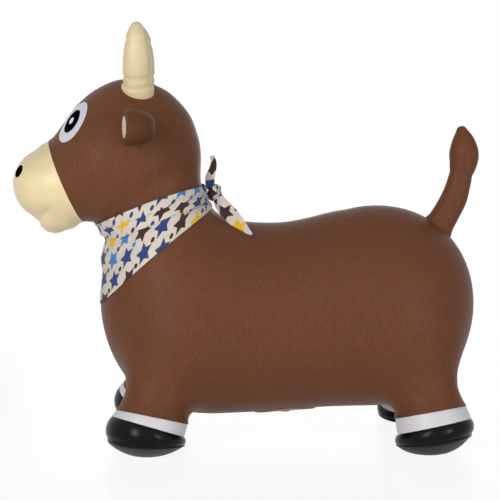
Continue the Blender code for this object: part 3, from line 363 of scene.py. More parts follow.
class Body:
    """The outer surface of the inflated skin, as a field that is negative inside."""

    CHUNK = 12000

    def __init__(self):
        rows = smooth_rows(SECTIONS_MM, SECTION_STEPS) * MM
        top, bottom = rows[:, 0:2], rows[:, 2:4]
        self.middle = (top + bottom) / 2
        span = top - bottom
        self.half_height = np.linalg.norm(span, axis=1) / 2
        self.up = span / (2 * self.half_height[:, None])
        self.forward = np.stack([-self.up[:, 1], self.up[:, 0]], axis=1)
        self.half_width = rows[:, 4]

    def sections(self, p):
        """The loft: each point is measured in the section whose plane runs through it."""
        flat = p[:, [0, 2]]
        ahead = flat @ self.forward.T - (self.middle * self.forward).sum(1)
        across = flat @ self.up.T - (self.middle * self.up).sum(1)
        near = (across / self.half_height) ** 2 + (ahead / SECTION_DEPTH) ** 2
        i = near.argmin(axis=1)
        rows = np.arange(len(p))
        j = np.clip(i + np.where(ahead[rows, i] > 0, 1, -1), 0, len(self.middle) - 1)
        gap = ahead[rows, i] - ahead[rows, j]
        t = np.clip(ahead[rows, i] / np.where(np.abs(gap) < PARALLEL, 1, gap), 0, 1)
        height = self.half_height[i] * (1 - t) + self.half_height[j] * t
        width = self.half_width[i] * (1 - t) + self.half_width[j] * t
        over = across[rows, i] * (1 - t) + across[rows, j] * t
        ends = np.maximum(ahead[:, -1], -ahead[:, 0])
        inside_ends = (i == 0) & (ahead[:, 0] < 0) | (i == len(self.middle) - 1) & (ahead[:, -1] > 0)
        distance = oval_distance(over, p[:, 1], height, width)
        return np.where(inside_ends, np.maximum(distance, ends), distance)

    def rump(self, p):
        """The half egg behind the first section, which keeps that section's oval and bulges highest up."""
        behind, beside, above = (p - np.array([self.middle[0, 0], 0, self.middle[0, 1]])).T
        width, height, power = self.half_width[0], self.half_height[0], RUMP_FULLNESS
        along = np.abs(behind - RUMP_SLANT * above) / RUMP_DEPTH
        hoop = np.maximum(np.hypot(beside / width, above / height), TINY)
        reach = (along**power + hoop**power) ** (1 / power)
        hoop_slope = np.hypot(beside / width**2, above / height**2) / hoop
        slope = np.hypot(along ** (power - 1) / RUMP_DEPTH, hoop ** (power - 1) * hoop_slope)
        return (reach - 1) * reach ** (power - 1) / np.maximum(slope, TINY)

    def __call__(self, p):
        p = np.array(p, float)
        return np.concatenate([self.field(p[k : k + self.CHUNK]) for k in range(0, len(p), self.CHUNK)])

    def field(self, p):
        p[:, 1] = np.abs(p[:, 1])
        field = np.minimum(self.sections(p), self.rump(p))
        nose = ball_distance(p, NOSE, NOSE_RADIUS, NOSE_WIDENING)
        chin = ball_distance(p, CHIN, CHIN_RADIUS, CHIN_WIDENING)
        field = soft_union(field, soft_union(nose, chin, MOUTH_BLEND), MUZZLE_BLEND)
        for leg in LEGS:
            rise = (np.array(leg.hem) - p) @ np.array(leg.down)
            width = LEG_BLEND * np.clip(rise / LEG_BLEND_RISE, LEG_BLEND_LEAST, 1)
            field = soft_union(field, leg.distance(p), width)
        return field

    def outward(self, p):
        """The unit normals of the field at points."""
        slopes = [self(p + SLOPE_STEP * axis) - self(p - SLOPE_STEP * axis) for axis in np.eye(3)]
        slope = np.stack(slopes, axis=1)
        return slope / np.linalg.norm(slope, axis=1)[:, None]

    def settle(self, p):
        """Points moved onto the surface along the field's slope."""
        for _ in range(SETTLE_ROUNDS):
            p = p - np.clip(self(p), -SETTLE_LIMIT, SETTLE_LIMIT)[:, None] * self.outward(p)
        return p

    def hit(self, start, direction):
        """Where rays from outside first meet the surface."""
        p = np.array(start, float)
        for _ in range(HIT_ROUNDS):
            p = p + HIT_PACE * np.clip(self(p), -HIT_RETURN, HIT_LIMIT)[:, None] * np.array(direction)
        return p

    def leave(self, start, directions, reach):
        """Where rays from inside first leave the surface."""
        depth = np.zeros(len(start))
        open_rays = np.ones(len(start), bool)
        for k in range(1, int(reach / LEAVE_STEP)):
            rows = np.flatnonzero(open_rays)
            out = self(start[rows] + k * LEAVE_STEP * directions[rows]) > 0
            depth[rows] = k * LEAVE_STEP
            open_rays[rows[out]] = False
            if not open_rays.any():
                break
        low, high = depth - LEAVE_STEP, depth.copy()
        for _ in range(LEAVE_HALVINGS):
            mid = (low + high) / 2
            out = self(start + mid[:, None] * directions) > 0
            high = np.where(out, mid, high)
            low = np.where(out, low, mid)
        return (low + high) / 2


@dataclass
class Leg:
    """One pair of legs, described on the +Y side."""

    end: int
    hip: Vector
    hem: Vector
    lean: float
    sock_height: float
    sock_wedge: float
    sock_toe: float
    sole_shift: float
    sole_radius: float
    sole_edge: float
    sole_pitch: float
    sole_curve: float
    tread_shift: float

    def __post_init__(self):
        run, rise = self.end * math.sin(self.lean), -math.cos(self.lean)
        self.down = Vector((run, math.sin(SPLAY), rise)).normalized()
        self.outer = (Vector((self.end, 0, 0)) - self.down * (self.end * self.down.x)).normalized()
        self.shin = self.hem - self.down * SHIN_HEIGHT
        self.below = self.hem + self.down * SHIN_HEIGHT * BELOW_HEM
        self.below_radius = SHIN_RADIUS + (HEM_RADIUS - SHIN_RADIUS) * (1 + BELOW_HEM)
        self.hem_reach = self.below_radius + SHIN_HEIGHT * BELOW_HEM + SKIN_CELL

    def distance(self, p):
        thigh = cone_distance(p, self.hip, self.shin, HIP_RADIUS, SHIN_RADIUS)
        cuff = cone_distance(p, self.shin, self.below, SHIN_RADIUS, self.below_radius)
        return soft_union(thigh, cuff, KNEE_BLEND)


LEGS = [
    Leg(
        end=-1,
        hip=Vector((-86, 54, 125.6)) * MM,
        hem=Vector((-112, 77, 42)) * MM,
        lean=math.radians(12.2),
        sock_height=11.4 * MM,
        sock_wedge=math.radians(4.6),
        sock_toe=3.2 * MM,
        sole_shift=-7 * MM,
        sole_radius=43.3 * MM,
        sole_edge=10 * MM,
        sole_pitch=math.radians(2.5),
        sole_curve=1.9,
        tread_shift=1.5 * MM,
    ),
    Leg(
        end=1,
        hip=Vector((192, 54, 129.6)) * MM,
        hem=Vector((212.4, 77, 45.4)) * MM,
        lean=math.radians(10),
        sock_height=16.8 * MM,
        sock_wedge=math.radians(2),
        sock_toe=1.6 * MM,
        sole_shift=3.5 * MM,
        sole_radius=43 * MM,
        sole_edge=11.5 * MM,
        sole_pitch=math.radians(8),
        sole_curve=2.5,
        tread_shift=-9 * MM,
    ),
]


# Finishes

BROWN = (0.148, 0.0565, 0.026)
CREAM = (0.85, 0.70, 0.41)
HORN_CREAM = (0.74, 0.61, 0.36)
BLACK = (0.003, 0.003, 0.003)
SOLE_GREY = (0.028, 0.0265, 0.031)
WHITE = (0.70, 0.69, 0.71)
EYE_WHITE = (0.70, 0.68, 0.78)
PINK = (0.76, 0.58, 0.44)
COTTON = (0.72, 0.65, 0.56)
NAVY = (0.019, 0.046, 0.20)
MAROON = (0.046, 0.012, 0.015)
YELLOW = (0.84, 0.50, 0.015)
SKY = (0.058, 0.23, 0.55)
GLINT = (0.80, 0.80, 0.82)
VALVE_BROWN = (0.30, 0.17, 0.12)
PLUG_BROWN = (0.035, 0.022, 0.02)
SLUB_GREY = (0.30, 0.27, 0.25)

# Noise scales are per metre, and a pair is the two ends of a range.
NOISE_SPAN = (0.3, 0.7)
HAIR_SCALE = 520.0
HAIR_DETAIL = 1.5
HAIR_LENGTHENING = 0.15
HAIR_EDGE = (0.44, 0.62)
HAIR_RELIEF = (0.18, 0.3 * MM)
WOBBLE_SCALE = 34.0
WOBBLE_REACH = 0.012
BACK_FACING = (0.72, 0.92)
BROWN_CLOUD_SCALE = 9.0
BROWN_GRAIN_SCALE = 900.0
BROWN_GRAIN_RELIEF = (0.05, 0.2 * MM)
# The darker range is painted shade in the grooves of the hair strokes; the lighter one is for their ridges.
BROWN_GROOVE_SHADE = (0.88, 0.99)
BROWN_LIGHT = (1.0, 1.12)
BROWN_ROUGHNESS = (0.40, 0.52)
BROWN_SPECULAR = 0.08
PLAIN_CLOUD_SCALE = 16.0
PLAIN_GRAIN_DEPTH = 0.3 * MM
PLAIN_GLOSS_SPAN = (0.85, 1.15)
PRINT_CELL = 26.5 * MM
STAR_RADIUS = 12.6 * MM
STAR_WAIST = 6.2 * MM
STAR_EDGE = 0.25 * MM
STAR_TURNS = 6.283
STAR_INKS = ((0.0, NAVY), (0.32, MAROON), (0.62, YELLOW), (0.82, SKY))
DOT_SHIFT = (0.5, 0.25)
DOT_EDGE = (2.6 * MM, 3.0 * MM)
DOT_INKS = ((0.0, SKY), (0.4, MAROON), (0.7, NAVY))
SOAK_SCALE = 260.0
SOAK_REACH = 0.9 * MM
COTTON_CLOUD_SCALE = 40.0
COTTON_TONES = (0.93, 1.05)
COTTON_RELIEF = (0.25, 0.2 * MM)
THREAD = 0.55 * MM
WEAVE_SHARE = 0.5
SLUB_STRETCH = (60, 900, 1)
SLUB_SHADE = (0.0, 0.10)


def make(tree, kind, inputs=None, **settings):
    """A new shader node. An input that is a socket is linked, and any other is set."""
    new = tree.nodes.new(kind)
    for key, value in settings.items():
        setattr(new, key, value)
    for key, value in (inputs or {}).items():
        if isinstance(value, bpy.types.NodeSocket):
            tree.links.new(value, new.inputs[key])
        else:
            new.inputs[key].default_value = value
    return new


def calc(tree, operation, a, b=0.0, c=0.0):
    return make(tree, "ShaderNodeMath", {0: a, 1: b, 2: c}, operation=operation).outputs[0]


def mixed(tree, share, first, second):
    """A colour between two others."""
    node = make(tree, "ShaderNodeMix", {0: share, 6: first, 7: second}, data_type="RGBA")
    return node.outputs[2]


def spread(tree, value, source, target=(0.0, 1.0)):
    """A value moved from one range to another."""
    ends = {"From Min": source[0], "From Max": source[1], "To Min": target[0], "To Max": target[1]}
    return make(tree, "ShaderNodeMapRange", {"Value": value, **ends}).outputs[0]


def shifted(tree, operation, vector, **keys):
    """A vector after one step of arithmetic. The key `by` is its other vector, and `scale` its factor."""
    inputs = {{"by": 1, "scale": "Scale"}[key]: value for key, value in keys.items()}
    return make(tree, "ShaderNodeVectorMath", {0: vector, **inputs}, operation=operation).outputs[0]


def far_from_middle(tree, x, y):
    squares = [calc(tree, "MULTIPLY", part, part) for part in (x, y)]
    return calc(tree, "SQRT", calc(tree, "ADD", *squares))


def noise(tree, vector, scale, detail=2.0, roughness=0.5):
    keys = {"Vector": vector, "Scale": scale, "Detail": detail, "Roughness": roughness}
    return make(tree, "ShaderNodeTexNoise", keys).outputs["Fac"]


def stretched(tree, vector, scale, turn=(0, 0, 0)):
    return make(tree, "ShaderNodeMapping", {"Vector": vector, "Scale": scale, "Rotation": turn}).outputs[0]


def rgb(colour, level=1.0):
    return (*(min(1.0, part * level) for part in colour), 1)


def new_finish(name):
    finish = bpy.data.materials.new(name)
    finish.use_nodes = True
    tree = finish.node_tree
    return finish, tree, tree.nodes["Principled BSDF"]


def bumped(tree, shader, height, strength, distance, below=None):
    keys = {"Height": height, "Strength": strength, "Distance": distance}
    if below is not None:
        keys["Normal"] = below
    bump = make(tree, "ShaderNodeBump", keys).outputs[0]
    tree.links.new(bump, shader.inputs["Normal"])
    return bump


def brown_vinyl(name, turn, level=1.0):
    """Satin moulded vinyl with fine embossed hair strokes, which run along a given turn about Y. A level
    below one darkens it all as painted shade.
    """
    finish, tree, shader = new_finish(name)
    place = make(tree, "ShaderNodeTexCoord").outputs["Object"]
    keys = {"Vector": place, "Scale": WOBBLE_SCALE, "Detail": 1.0}
    wobble = make(tree, "ShaderNodeTexNoise", keys).outputs["Color"]
    wobble = shifted(tree, "SUBTRACT", wobble, by=(0.5, 0.5, 0.5))
    bent = shifted(tree, "ADD", place, by=shifted(tree, "SCALE", wobble, scale=WOBBLE_REACH))
    flank_place = stretched(tree, bent, (1, 1, HAIR_LENGTHENING), (0, turn, 0))
    back_place = stretched(tree, bent, (HAIR_LENGTHENING, 1, 1))
    flank, back = (noise(tree, at, HAIR_SCALE, HAIR_DETAIL) for at in (flank_place, back_place))
    normal = make(tree, "ShaderNodeNewGeometry").outputs["Normal"]
    upward = make(tree, "ShaderNodeSeparateXYZ", {0: normal}).outputs[2]
    top_share = spread(tree, calc(tree, "ABSOLUTE", upward), BACK_FACING)
    strokes = make(tree, "ShaderNodeMix", {0: top_share, 2: flank, 3: back}, data_type="FLOAT").outputs[0]
    grooves = spread(tree, strokes, HAIR_EDGE)
    cloud = noise(tree, place, BROWN_CLOUD_SCALE, 3.0)
    grain = noise(tree, place, BROWN_GRAIN_SCALE, 2.0)
    # Grooves of the strokes take the darker tones, as painted shade that matches the bump; the cloud varies
    # the tone at random.
    groove_shade, light = (
        mixed(tree, cloud, *(rgb(BROWN, tone * level) for tone in tones))
        for tones in (BROWN_GROOVE_SHADE, BROWN_LIGHT)
    )
    tree.links.new(mixed(tree, grooves, groove_shade, light), shader.inputs["Base Color"])
    tree.links.new(spread(tree, grain, NOISE_SPAN, BROWN_ROUGHNESS), shader.inputs["Roughness"])
    shader.inputs["Specular IOR Level"].default_value = BROWN_SPECULAR
    fine = bumped(tree, shader, grain, *BROWN_GRAIN_RELIEF)
    bumped(tree, shader, grooves, *HAIR_RELIEF, fine)
    return finish


def plain_vinyl(name, colour, roughness, grain_scale, grain_depth, specular, shade):
    """Smooth moulded vinyl or paint, with cloudy tone, uneven gloss and a fine grain."""
    finish, tree, shader = new_finish(name)
    place = make(tree, "ShaderNodeTexCoord").outputs["Object"]
    cloud = noise(tree, place, PLAIN_CLOUD_SCALE, 4.0, 0.6)
    grain = noise(tree, place, grain_scale, 3.0)
    share = spread(tree, cloud, NOISE_SPAN)
    tone = mixed(tree, share, rgb(colour, 1 - shade), rgb(colour, 1 + shade / 2))
    gloss = spread(tree, cloud, NOISE_SPAN, [roughness * part for part in PLAIN_GLOSS_SPAN])
    tree.links.new(tone, shader.inputs["Base Color"])
    tree.links.new(gloss, shader.inputs["Roughness"])
    shader.inputs["Specular IOR Level"].default_value = specular
    bumped(tree, shader, grain, grain_depth, PLAIN_GRAIN_DEPTH)
    return finish


def cell_points(tree, u, v, shift=0.0, row_shift=0.0):
    """Coordinates about the middle of each cell of a half-drop repeat, and two random values of that cell."""
    column_at = calc(tree, "ADD", calc(tree, "DIVIDE", u, PRINT_CELL), shift)
    column = calc(tree, "FLOOR", column_at)
    drop = calc(tree, "MULTIPLY", calc(tree, "FLOORED_MODULO", column, 2.0), 0.5)
    row_at = calc(tree, "ADD", calc(tree, "ADD", calc(tree, "DIVIDE", v, PRINT_CELL), row_shift), drop)
    row = calc(tree, "FLOOR", row_at)

    def centred(at, whole):
        share = calc(tree, "SUBTRACT", calc(tree, "SUBTRACT", at, whole), 0.5)
        return calc(tree, "MULTIPLY", share, PRINT_CELL)

    cell = make(tree, "ShaderNodeCombineXYZ", {0: column, 1: row, 2: shift}).outputs[0]
    dice = make(tree, "ShaderNodeTexWhiteNoise", {"Vector": cell}, noise_dimensions="3D").outputs
    return centred(column_at, column), centred(row_at, row), dice["Value"], dice["Color"]


def star_mask(tree, x, y, turn):
    """One inside a straight-edged five-pointed star, and nought outside it."""
    angle = calc(tree, "ADD", calc(tree, "ARCTAN2", y, x), turn)
    tip = 2 * math.pi / 5
    fold = calc(tree, "FLOORED_MODULO", calc(tree, "ADD", angle, tip / 2), tip)
    fold = calc(tree, "ABSOLUTE", calc(tree, "SUBTRACT", fold, tip / 2))
    side = Vector((STAR_WAIST * math.cos(tip / 2) - STAR_RADIUS, STAR_WAIST * math.sin(tip / 2)))
    facing = Vector((side.y, -side.x)).normalized()
    lean = math.atan2(facing.y, facing.x)
    bend = calc(tree, "COSINE", calc(tree, "SUBTRACT", fold, lean))
    reach = calc(tree, "MULTIPLY", far_from_middle(tree, x, y), bend)
    edge = STAR_RADIUS * facing.x
    return spread(tree, reach, (edge - STAR_EDGE, edge + STAR_EDGE), (1.0, 0.0))


def inked(tree, dice, stops):
    """One of some inks, which a random value picks."""
    ramp = make(tree, "ShaderNodeValToRGB", {0: dice})
    inks = ramp.color_ramp
    inks.interpolation = "CONSTANT"
    for at, ink in stops:
        stop = inks.elements[0] if at == 0 else inks.elements.new(at)
        stop.color = rgb(ink)
    inks.elements.remove(inks.elements[-1])
    return ramp.outputs[0]


def printed_cotton(name):
    """Plain-weave cotton with a half-drop print of plain stars and dots."""
    finish, tree, shader = new_finish(name)
    place = make(tree, "ShaderNodeUVMap", uv_map="cloth").outputs[0]
    u, v, _ = make(tree, "ShaderNodeSeparateXYZ", {0: place}).outputs
    soak = calc(tree, "SUBTRACT", noise(tree, place, SOAK_SCALE, 3.0), 0.5)
    u_ink = calc(tree, "ADD", u, calc(tree, "MULTIPLY", soak, SOAK_REACH))
    cloud = noise(tree, place, COTTON_CLOUD_SCALE, 3.0)
    ground = mixed(tree, cloud, *(rgb(COTTON, tone) for tone in COTTON_TONES))

    x, y, dice, other = cell_points(tree, u_ink, v)
    turns = make(tree, "ShaderNodeSeparateColor", {0: other}).outputs
    star = star_mask(tree, x, y, calc(tree, "MULTIPLY", turns[0], STAR_TURNS))
    coloured = mixed(tree, star, ground, inked(tree, dice, STAR_INKS))
    x, y, dice, _ = cell_points(tree, u_ink, v, *DOT_SHIFT)
    dot = spread(tree, far_from_middle(tree, x, y), DOT_EDGE, (1.0, 0.0))
    coloured = mixed(tree, dot, coloured, inked(tree, dice, DOT_INKS))

    warp, weft = (calc(tree, "SINE", calc(tree, "MULTIPLY", way, 2 * math.pi / THREAD)) for way in (u, v))
    weave = calc(tree, "MULTIPLY", warp, weft)
    slub = noise(tree, stretched(tree, place, SLUB_STRETCH), 1.0, 2.0)
    fabric = calc(tree, "ADD", calc(tree, "MULTIPLY", weave, WEAVE_SHARE), slub)
    shaded = mixed(tree, spread(tree, slub, NOISE_SPAN, SLUB_SHADE), coloured, rgb(SLUB_GREY))
    tree.links.new(shaded, shader.inputs["Base Color"])
    shader.inputs["Roughness"].default_value = 0.85
    shader.inputs["Specular IOR Level"].default_value = 0.2
    shader.inputs["Sheen Weight"].default_value = 0.15
    bumped(tree, shader, fabric, *COTTON_RELIEF)
    return finish


# Each finish with its material slot. A plain one has its roughness, the scale and depth of its grain, its
# specular level and how far its tone varies.
BODY_SKIN = (brown_vinyl("brown skin", 0.0), "brown_vinyl")
HEAD_SKIN = (brown_vinyl("brown skin, head", math.radians(-38)), "brown_vinyl")
# The ear's brown is darkened to 0.76 of the skin's: painted shade on the same vinyl.
EAR_SHADED_SKIN = (brown_vinyl("brown skin, ear, painted shade", 0.0, 0.76), "brown_vinyl")
CREAM_SKIN = (plain_vinyl("cream skin", CREAM, 0.40, 500.0, 0.05, 0.4, 0.06), "cream_vinyl")
HORN_SKIN = (plain_vinyl("horn skin", HORN_CREAM, 0.42, 420.0, 0.08, 0.4, 0.09), "cream_vinyl")
GLOSS_BLACK = (plain_vinyl("gloss black", BLACK, 0.25, 300.0, 0.02, 0.12, 0.3), "black_vinyl")
SOLE_SKIN = (plain_vinyl("sole", SOLE_GREY, 0.5, 900.0, 0.18, 0.25, 0.12), "sole_vinyl")
SOCK_WHITE = (plain_vinyl("sock white", WHITE, 0.45, 420.0, 0.06, 0.4, 0.05), "white_vinyl")
EYE_PAINT = (plain_vinyl("eye white", EYE_WHITE, 0.30, 700.0, 0.03, 0.5, 0.04), "white_paint")
BLACK_PAINT = (plain_vinyl("black paint", BLACK, 0.35, 700.0, 0.03, 0.0, 0.3), "black_paint")
GLINT_PAINT = (plain_vinyl("glint paint", GLINT, 0.30, 700.0, 0.03, 0.5, 0.03), "white_paint")
EAR_PINK = (plain_vinyl("ear lining", PINK, 0.45, 500.0, 0.06, 0.35, 0.08), "pink_vinyl")
VALVE_SKIN = (plain_vinyl("valve", VALVE_BROWN, 0.4, 700.0, 0.05, 0.3, 0.08), "brown_vinyl")
PLUG_SKIN = (plain_vinyl("plug", PLUG_BROWN, 0.45, 700.0, 0.06, 0.45, 0.1), "black_vinyl")
COTTON_PRINT = (printed_cotton("printed cotton"), "cotton")


# Meshes


def add_piece(name, solid, finish, node, ride=None, blend=None, sharp=38, uv=None):
    """One named piece in place of a node, which rides on a body; with a blend it is only baked in place."""
    corners, faces = solid
    material, slot = finish
    mesh = bmesh.new()
    points = [mesh.verts.new(corner) for corner in corners]
    if uv is not None:
        layer = mesh.loops.layers.uv.new("cloth")
    for number, face in enumerate(faces):
        made = mesh.faces.new([points[k] for k in face])
        if uv is not None:
            for loop, at in zip(made.loops, uv[number]):
                loop[layer].uv = at
    bmesh.ops.recalc_face_normals(mesh, faces=mesh.faces)
    data = bpy.data.meshes.new(name)
    mesh.to_mesh(data)
    mesh.free()
    data.shade_smooth()
    data.set_sharp_from_angle(angle=math.radians(sharp))
    data.materials.append(material)
    piece = bpy.data.objects.new(name, data)
    bpy.context.collection.objects.link(piece)
    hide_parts(node)
    if blend is None:
        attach(piece, ride)
    else:
        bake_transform(piece)
    return piece


def grid_surface(field, low, counts, cell):
    """Quads around the inside of a field, with one corner in each grid cell that the surface crosses."""
    steps = np.stack(np.meshgrid(*[np.arange(count) for count in counts], indexing="ij"), axis=-1)
    points = low + steps * cell
    value = field(points.reshape(-1, 3)).reshape(counts)
    total = np.zeros((*(counts - 1), 3))
    crossings = np.zeros(counts - 1)
    crossed_edges = []
    for axis in range(3):
        u, v = (axis + 1) % 3, (axis + 2) % 3
        first = np.take(value, range(counts[axis] - 1), axis)
        second = np.take(value, range(1, counts[axis]), axis)
        crossed = (first < 0) != (second < 0)
        share = np.where(crossed, first / np.where(crossed, first - second, 1), 0)
        place = np.take(points, range(counts[axis] - 1), axis) + share[..., None] * cell * np.eye(3)[axis]
        for du in (0, 1):
            for dv in (0, 1):
                part = [slice(None)] * 3
                part[u] = slice(du, du + counts[u] - 1)
                part[v] = slice(dv, dv + counts[v] - 1)
                part = tuple(part)
                total += np.where(crossed[part][..., None], place[part], 0)
                crossings += crossed[part]
        for edge in np.argwhere(crossed):
            crossed_edges.append((axis, edge, first[tuple(edge)] < 0))
    used = crossings > 0
    number = np.cumsum(used).reshape(used.shape) - 1
    quads = []
    for axis, edge, rising in crossed_edges:
        du, dv = np.eye(3, dtype=int)[[(axis + 1) % 3, (axis + 2) % 3]]
        quad = [number[tuple(edge - step)] for step in (du + dv, dv, 0 * du, du)]
        quads.append(quad if rising else quad[::-1])
    return total[used] / crossings[used][:, None], quads


def subdivided(corners, faces, levels):
    """A mesh after some rounds of Catmull-Clark subdivision."""
    data = bpy.data.meshes.new("base")
    data.from_pydata([tuple(corner) for corner in corners], [], [list(map(int, face)) for face in faces])
    base = bpy.data.objects.new("base", data)
    bpy.context.collection.objects.link(base)
    smooth = base.modifiers.new("subdivision", "SUBSURF")
    smooth.levels = levels
    graph = bpy.context.evaluated_depsgraph_get()
    graph.update()
    fine = base.evaluated_get(graph).to_mesh()
    points = np.array([corner.co for corner in fine.vertices])
    polygons = [list(face.vertices) for face in fine.polygons]
    bpy.data.objects.remove(base)
    bpy.data.meshes.remove(data)
    return points, polygons


def relaxed(points, edges, pull):
    """Points drawn towards the mean of their neighbours, each by its own share."""
    first, second = edges.T
    count = np.bincount(edges.ravel(), minlength=len(points))[:, None]
    for _ in range(RELAX_ROUNDS):
        total = np.zeros_like(points)
        np.add.at(total, first, points[second])
        np.add.at(total, second, points[first])
        points = points + pull[:, None] * (total / count - points)
    return points


class Cut:
    """A plane that ends a piece of skin: everything on its away side goes, within reach of its point."""

    def __init__(self, point, away, reach=None):
        self.point = np.array(point)
        self.away = np.array(away)
        self.reach = reach

    def near(self, place):
        return self.reach is None or np.linalg.norm(np.array(place) - self.point) < self.reach

    def apply(self, mesh):
        for corner in mesh.verts:
            height = (np.array(corner.co) - self.point) @ self.away
            if abs(height) < SNAP and self.near(corner.co):
                corner.co -= Vector(self.away) * height
        faces = [face for face in mesh.faces if self.near(face.calc_center_median())]
        edges = {edge for face in faces for edge in face.edges}
        corners = {corner for face in faces for corner in face.verts}
        bmesh.ops.bisect_plane(
            mesh,
            geom=faces + list(edges) + list(corners),
            dist=BISECT_SLACK,
            plane_co=self.point,
            plane_no=self.away,
            clear_outer=True,
        )


class Skin:
    """The body's surface as fine quads, and the pieces that planes divide it into."""

    def __init__(self, body):
        self.body = body
        low = np.floor(SPACE_LOW / SKIN_CELL) * SKIN_CELL
        counts = np.ceil((SPACE_HIGH - low) / SKIN_CELL).astype(int) + 1
        corners, quads = grid_surface(body, low, counts, SKIN_CELL)
        corners, self.quads = subdivided(body.settle(corners), quads, SKIN_LEVELS)
        self.corners = body.settle(corners)

    def piece(self, cuts, refine=0, relax=None, carve=None):
        """A closed wall under the surface, with rims that lie in the cutting planes."""
        mesh = bmesh.new()
        corners = [mesh.verts.new(corner) for corner in self.corners]
        for quad in self.quads:
            mesh.faces.new([corners[k] for k in quad])
        for cut in cuts:
            cut.apply(mesh)
        loose = [corner for corner in mesh.verts if not corner.link_faces]
        bmesh.ops.delete(mesh, geom=loose, context="VERTS")
        if refine:
            bmesh.ops.subdivide_edges(mesh, edges=mesh.edges, cuts=refine, use_grid_fill=True)
        mesh.verts.index_update()
        surface = np.array([corner.co for corner in mesh.verts])
        faces = [[corner.index for corner in face.verts] for face in mesh.faces]
        rim = [(loop.vert.index, loop.link_loop_next.vert.index) for edge in mesh.edges
               if edge.is_boundary for loop in edge.link_loops]
        edges = np.array([[corner.index for corner in edge.verts] for edge in mesh.edges])
        mesh.free()
        on_rim = np.zeros(len(surface), bool)
        on_rim[[k for pair in rim for k in pair]] = True
        if refine:
            surface[~on_rim] = self.body.settle(surface[~on_rim])
        shift = self.rim_shift(surface, cuts)
        if relax is not None:
            surface = relaxed(surface, edges, relax(surface) * ~on_rim)
        if carve is not None:
            surface = surface + (carve(surface) * ~on_rim)[:, None] * shift
        count = len(surface)
        walls = [(b, a, a + count, b + count) for a, b in rim]
        lining = [[corner + count for corner in reversed(face)] for face in faces]
        return np.vstack([surface, surface - WALL * shift]), faces + lining + walls

    def rim_shift(self, surface, cuts):
        """The way each corner moves to give the wall its thickness: square to the skin or along its cut."""
        normals = self.body.outward(surface)
        shift = normals.copy()
        for cut in cuts:
            on_cut = np.abs((surface - cut.point) @ cut.away) < ON_CUT
            if cut.reach is not None:
                on_cut &= np.linalg.norm(surface - cut.point, axis=1) < cut.reach
            flat = normals - (normals @ cut.away)[:, None] * cut.away
            flat /= np.maximum((flat**2).sum(axis=1), RIM_SLANT_LEAST)[:, None]
            shift[on_cut] = flat[on_cut]
        return shift


def oval(middle, across, over, half_across, half_over, sides, roundness=1.0):
    """A ring of points round a middle. Below a roundness of one it grows corners."""
    turn = np.arange(sides) * 2 * math.pi / sides
    wide = np.sign(np.cos(turn)) * np.abs(np.cos(turn)) ** roundness
    tall = np.sign(np.sin(turn)) * np.abs(np.sin(turn)) ** roundness
    step = np.outer(wide, np.array(across) * half_across)
    return np.array(middle) + step + np.outer(tall, np.array(over) * half_over)


def ring_solid(rings, closed=False):
    """Rings of equal counts joined in turn. The ends are fans or, when closed, meet each other."""
    sides = len(rings[0])
    pairs = [(k, k + 1) for k in range(len(rings) - 1)]
    if closed:
        pairs.append((len(rings) - 1, 0))
    faces = []
    for a, b in pairs:
        for k in range(sides):
            after = (k + 1) % sides
            faces.append((a * sides + k, a * sides + after, b * sides + after, b * sides + k))
    corners = np.vstack(rings)
    if not closed:
        for ring in (0, len(rings) - 1):
            hub = len(corners)
            corners = np.vstack([corners, rings[ring].mean(axis=0)])
            faces += [(ring * sides + k, ring * sides + (k + 1) % sides, hub) for k in range(sides)]
    return corners, faces


def shrunk(ring, wall):
    """A ring drawn in towards its middle by a wall."""
    spoke = ring - ring.mean(axis=0)
    return ring - wall * spoke / np.linalg.norm(spoke, axis=1)[:, None]


def mirrored(solid, side):
    corners, faces = solid
    return corners * (1, side, 1), faces


def seat_ring(body, ring, axis, lift):
    """A ring dropped along an axis onto the skin, and lifted clear of it."""
    landed = body.hit(ring + SEAT_CLEARANCE * np.array(axis), -np.array(axis))
    return landed + lift * np.array(axis)


def plane_up(front, back):
    """The upward normal of a plane across the body, which two points of the middle plane give."""
    return (back - front).cross(Vector((0, 1, 0))).normalized()


# Skin


MOUTH_MM = [(-249, 263), (-243, 270), (-236.3, 277.1), (-230.4, 283.7), (-226.8, 290.7)]
MOUTH_DEPTH = 1.5 * MM
MOUTH_WIDTH = 3.4 * MM
MOUTH_FADE = 0.65
CHEEK_MIDDLE = np.array((-233, 310.5)) * MM
CHEEK_FORWARD = np.array((-0.975, -0.222))
CHEEK_REACH = 18 * MM
CHEEK_LOW = 278 * MM
CHEEK_FADE = 14 * MM
CHEEK_PULL = 0.6
RELAX_ROUNDS = 60
MUZZLE_CUTS = 2
MOUTH_STEPS = 10


def mouth(surface):
    """The soft crease that runs from the chin up into each cheek, as the side view shows it."""
    path = smooth_rows(MOUTH_MM, MOUTH_STEPS) * MM
    gap = np.linalg.norm(surface[:, None, [0, 2]] - path[None], axis=2)
    run = gap.argmin(axis=1) / (len(path) - 1)
    fade = 1 - np.clip((run - MOUTH_FADE) / (1 - MOUTH_FADE), 0, 1) ** 2
    return -MOUTH_DEPTH * fade * np.exp(-((gap.min(axis=1) / MOUTH_WIDTH) ** 2))


def cheek(surface):
    """How far each place of the muzzle is smoothed: most where the nose grows out of the face."""
    ahead = surface[:, [0, 2]] @ CHEEK_FORWARD - CHEEK_MIDDLE @ CHEEK_FORWARD
    above = np.clip((surface[:, 2] - CHEEK_LOW) / CHEEK_FADE, 0, 1)
    return CHEEK_PULL * above * np.exp(-((ahead / CHEEK_REACH) ** 2))


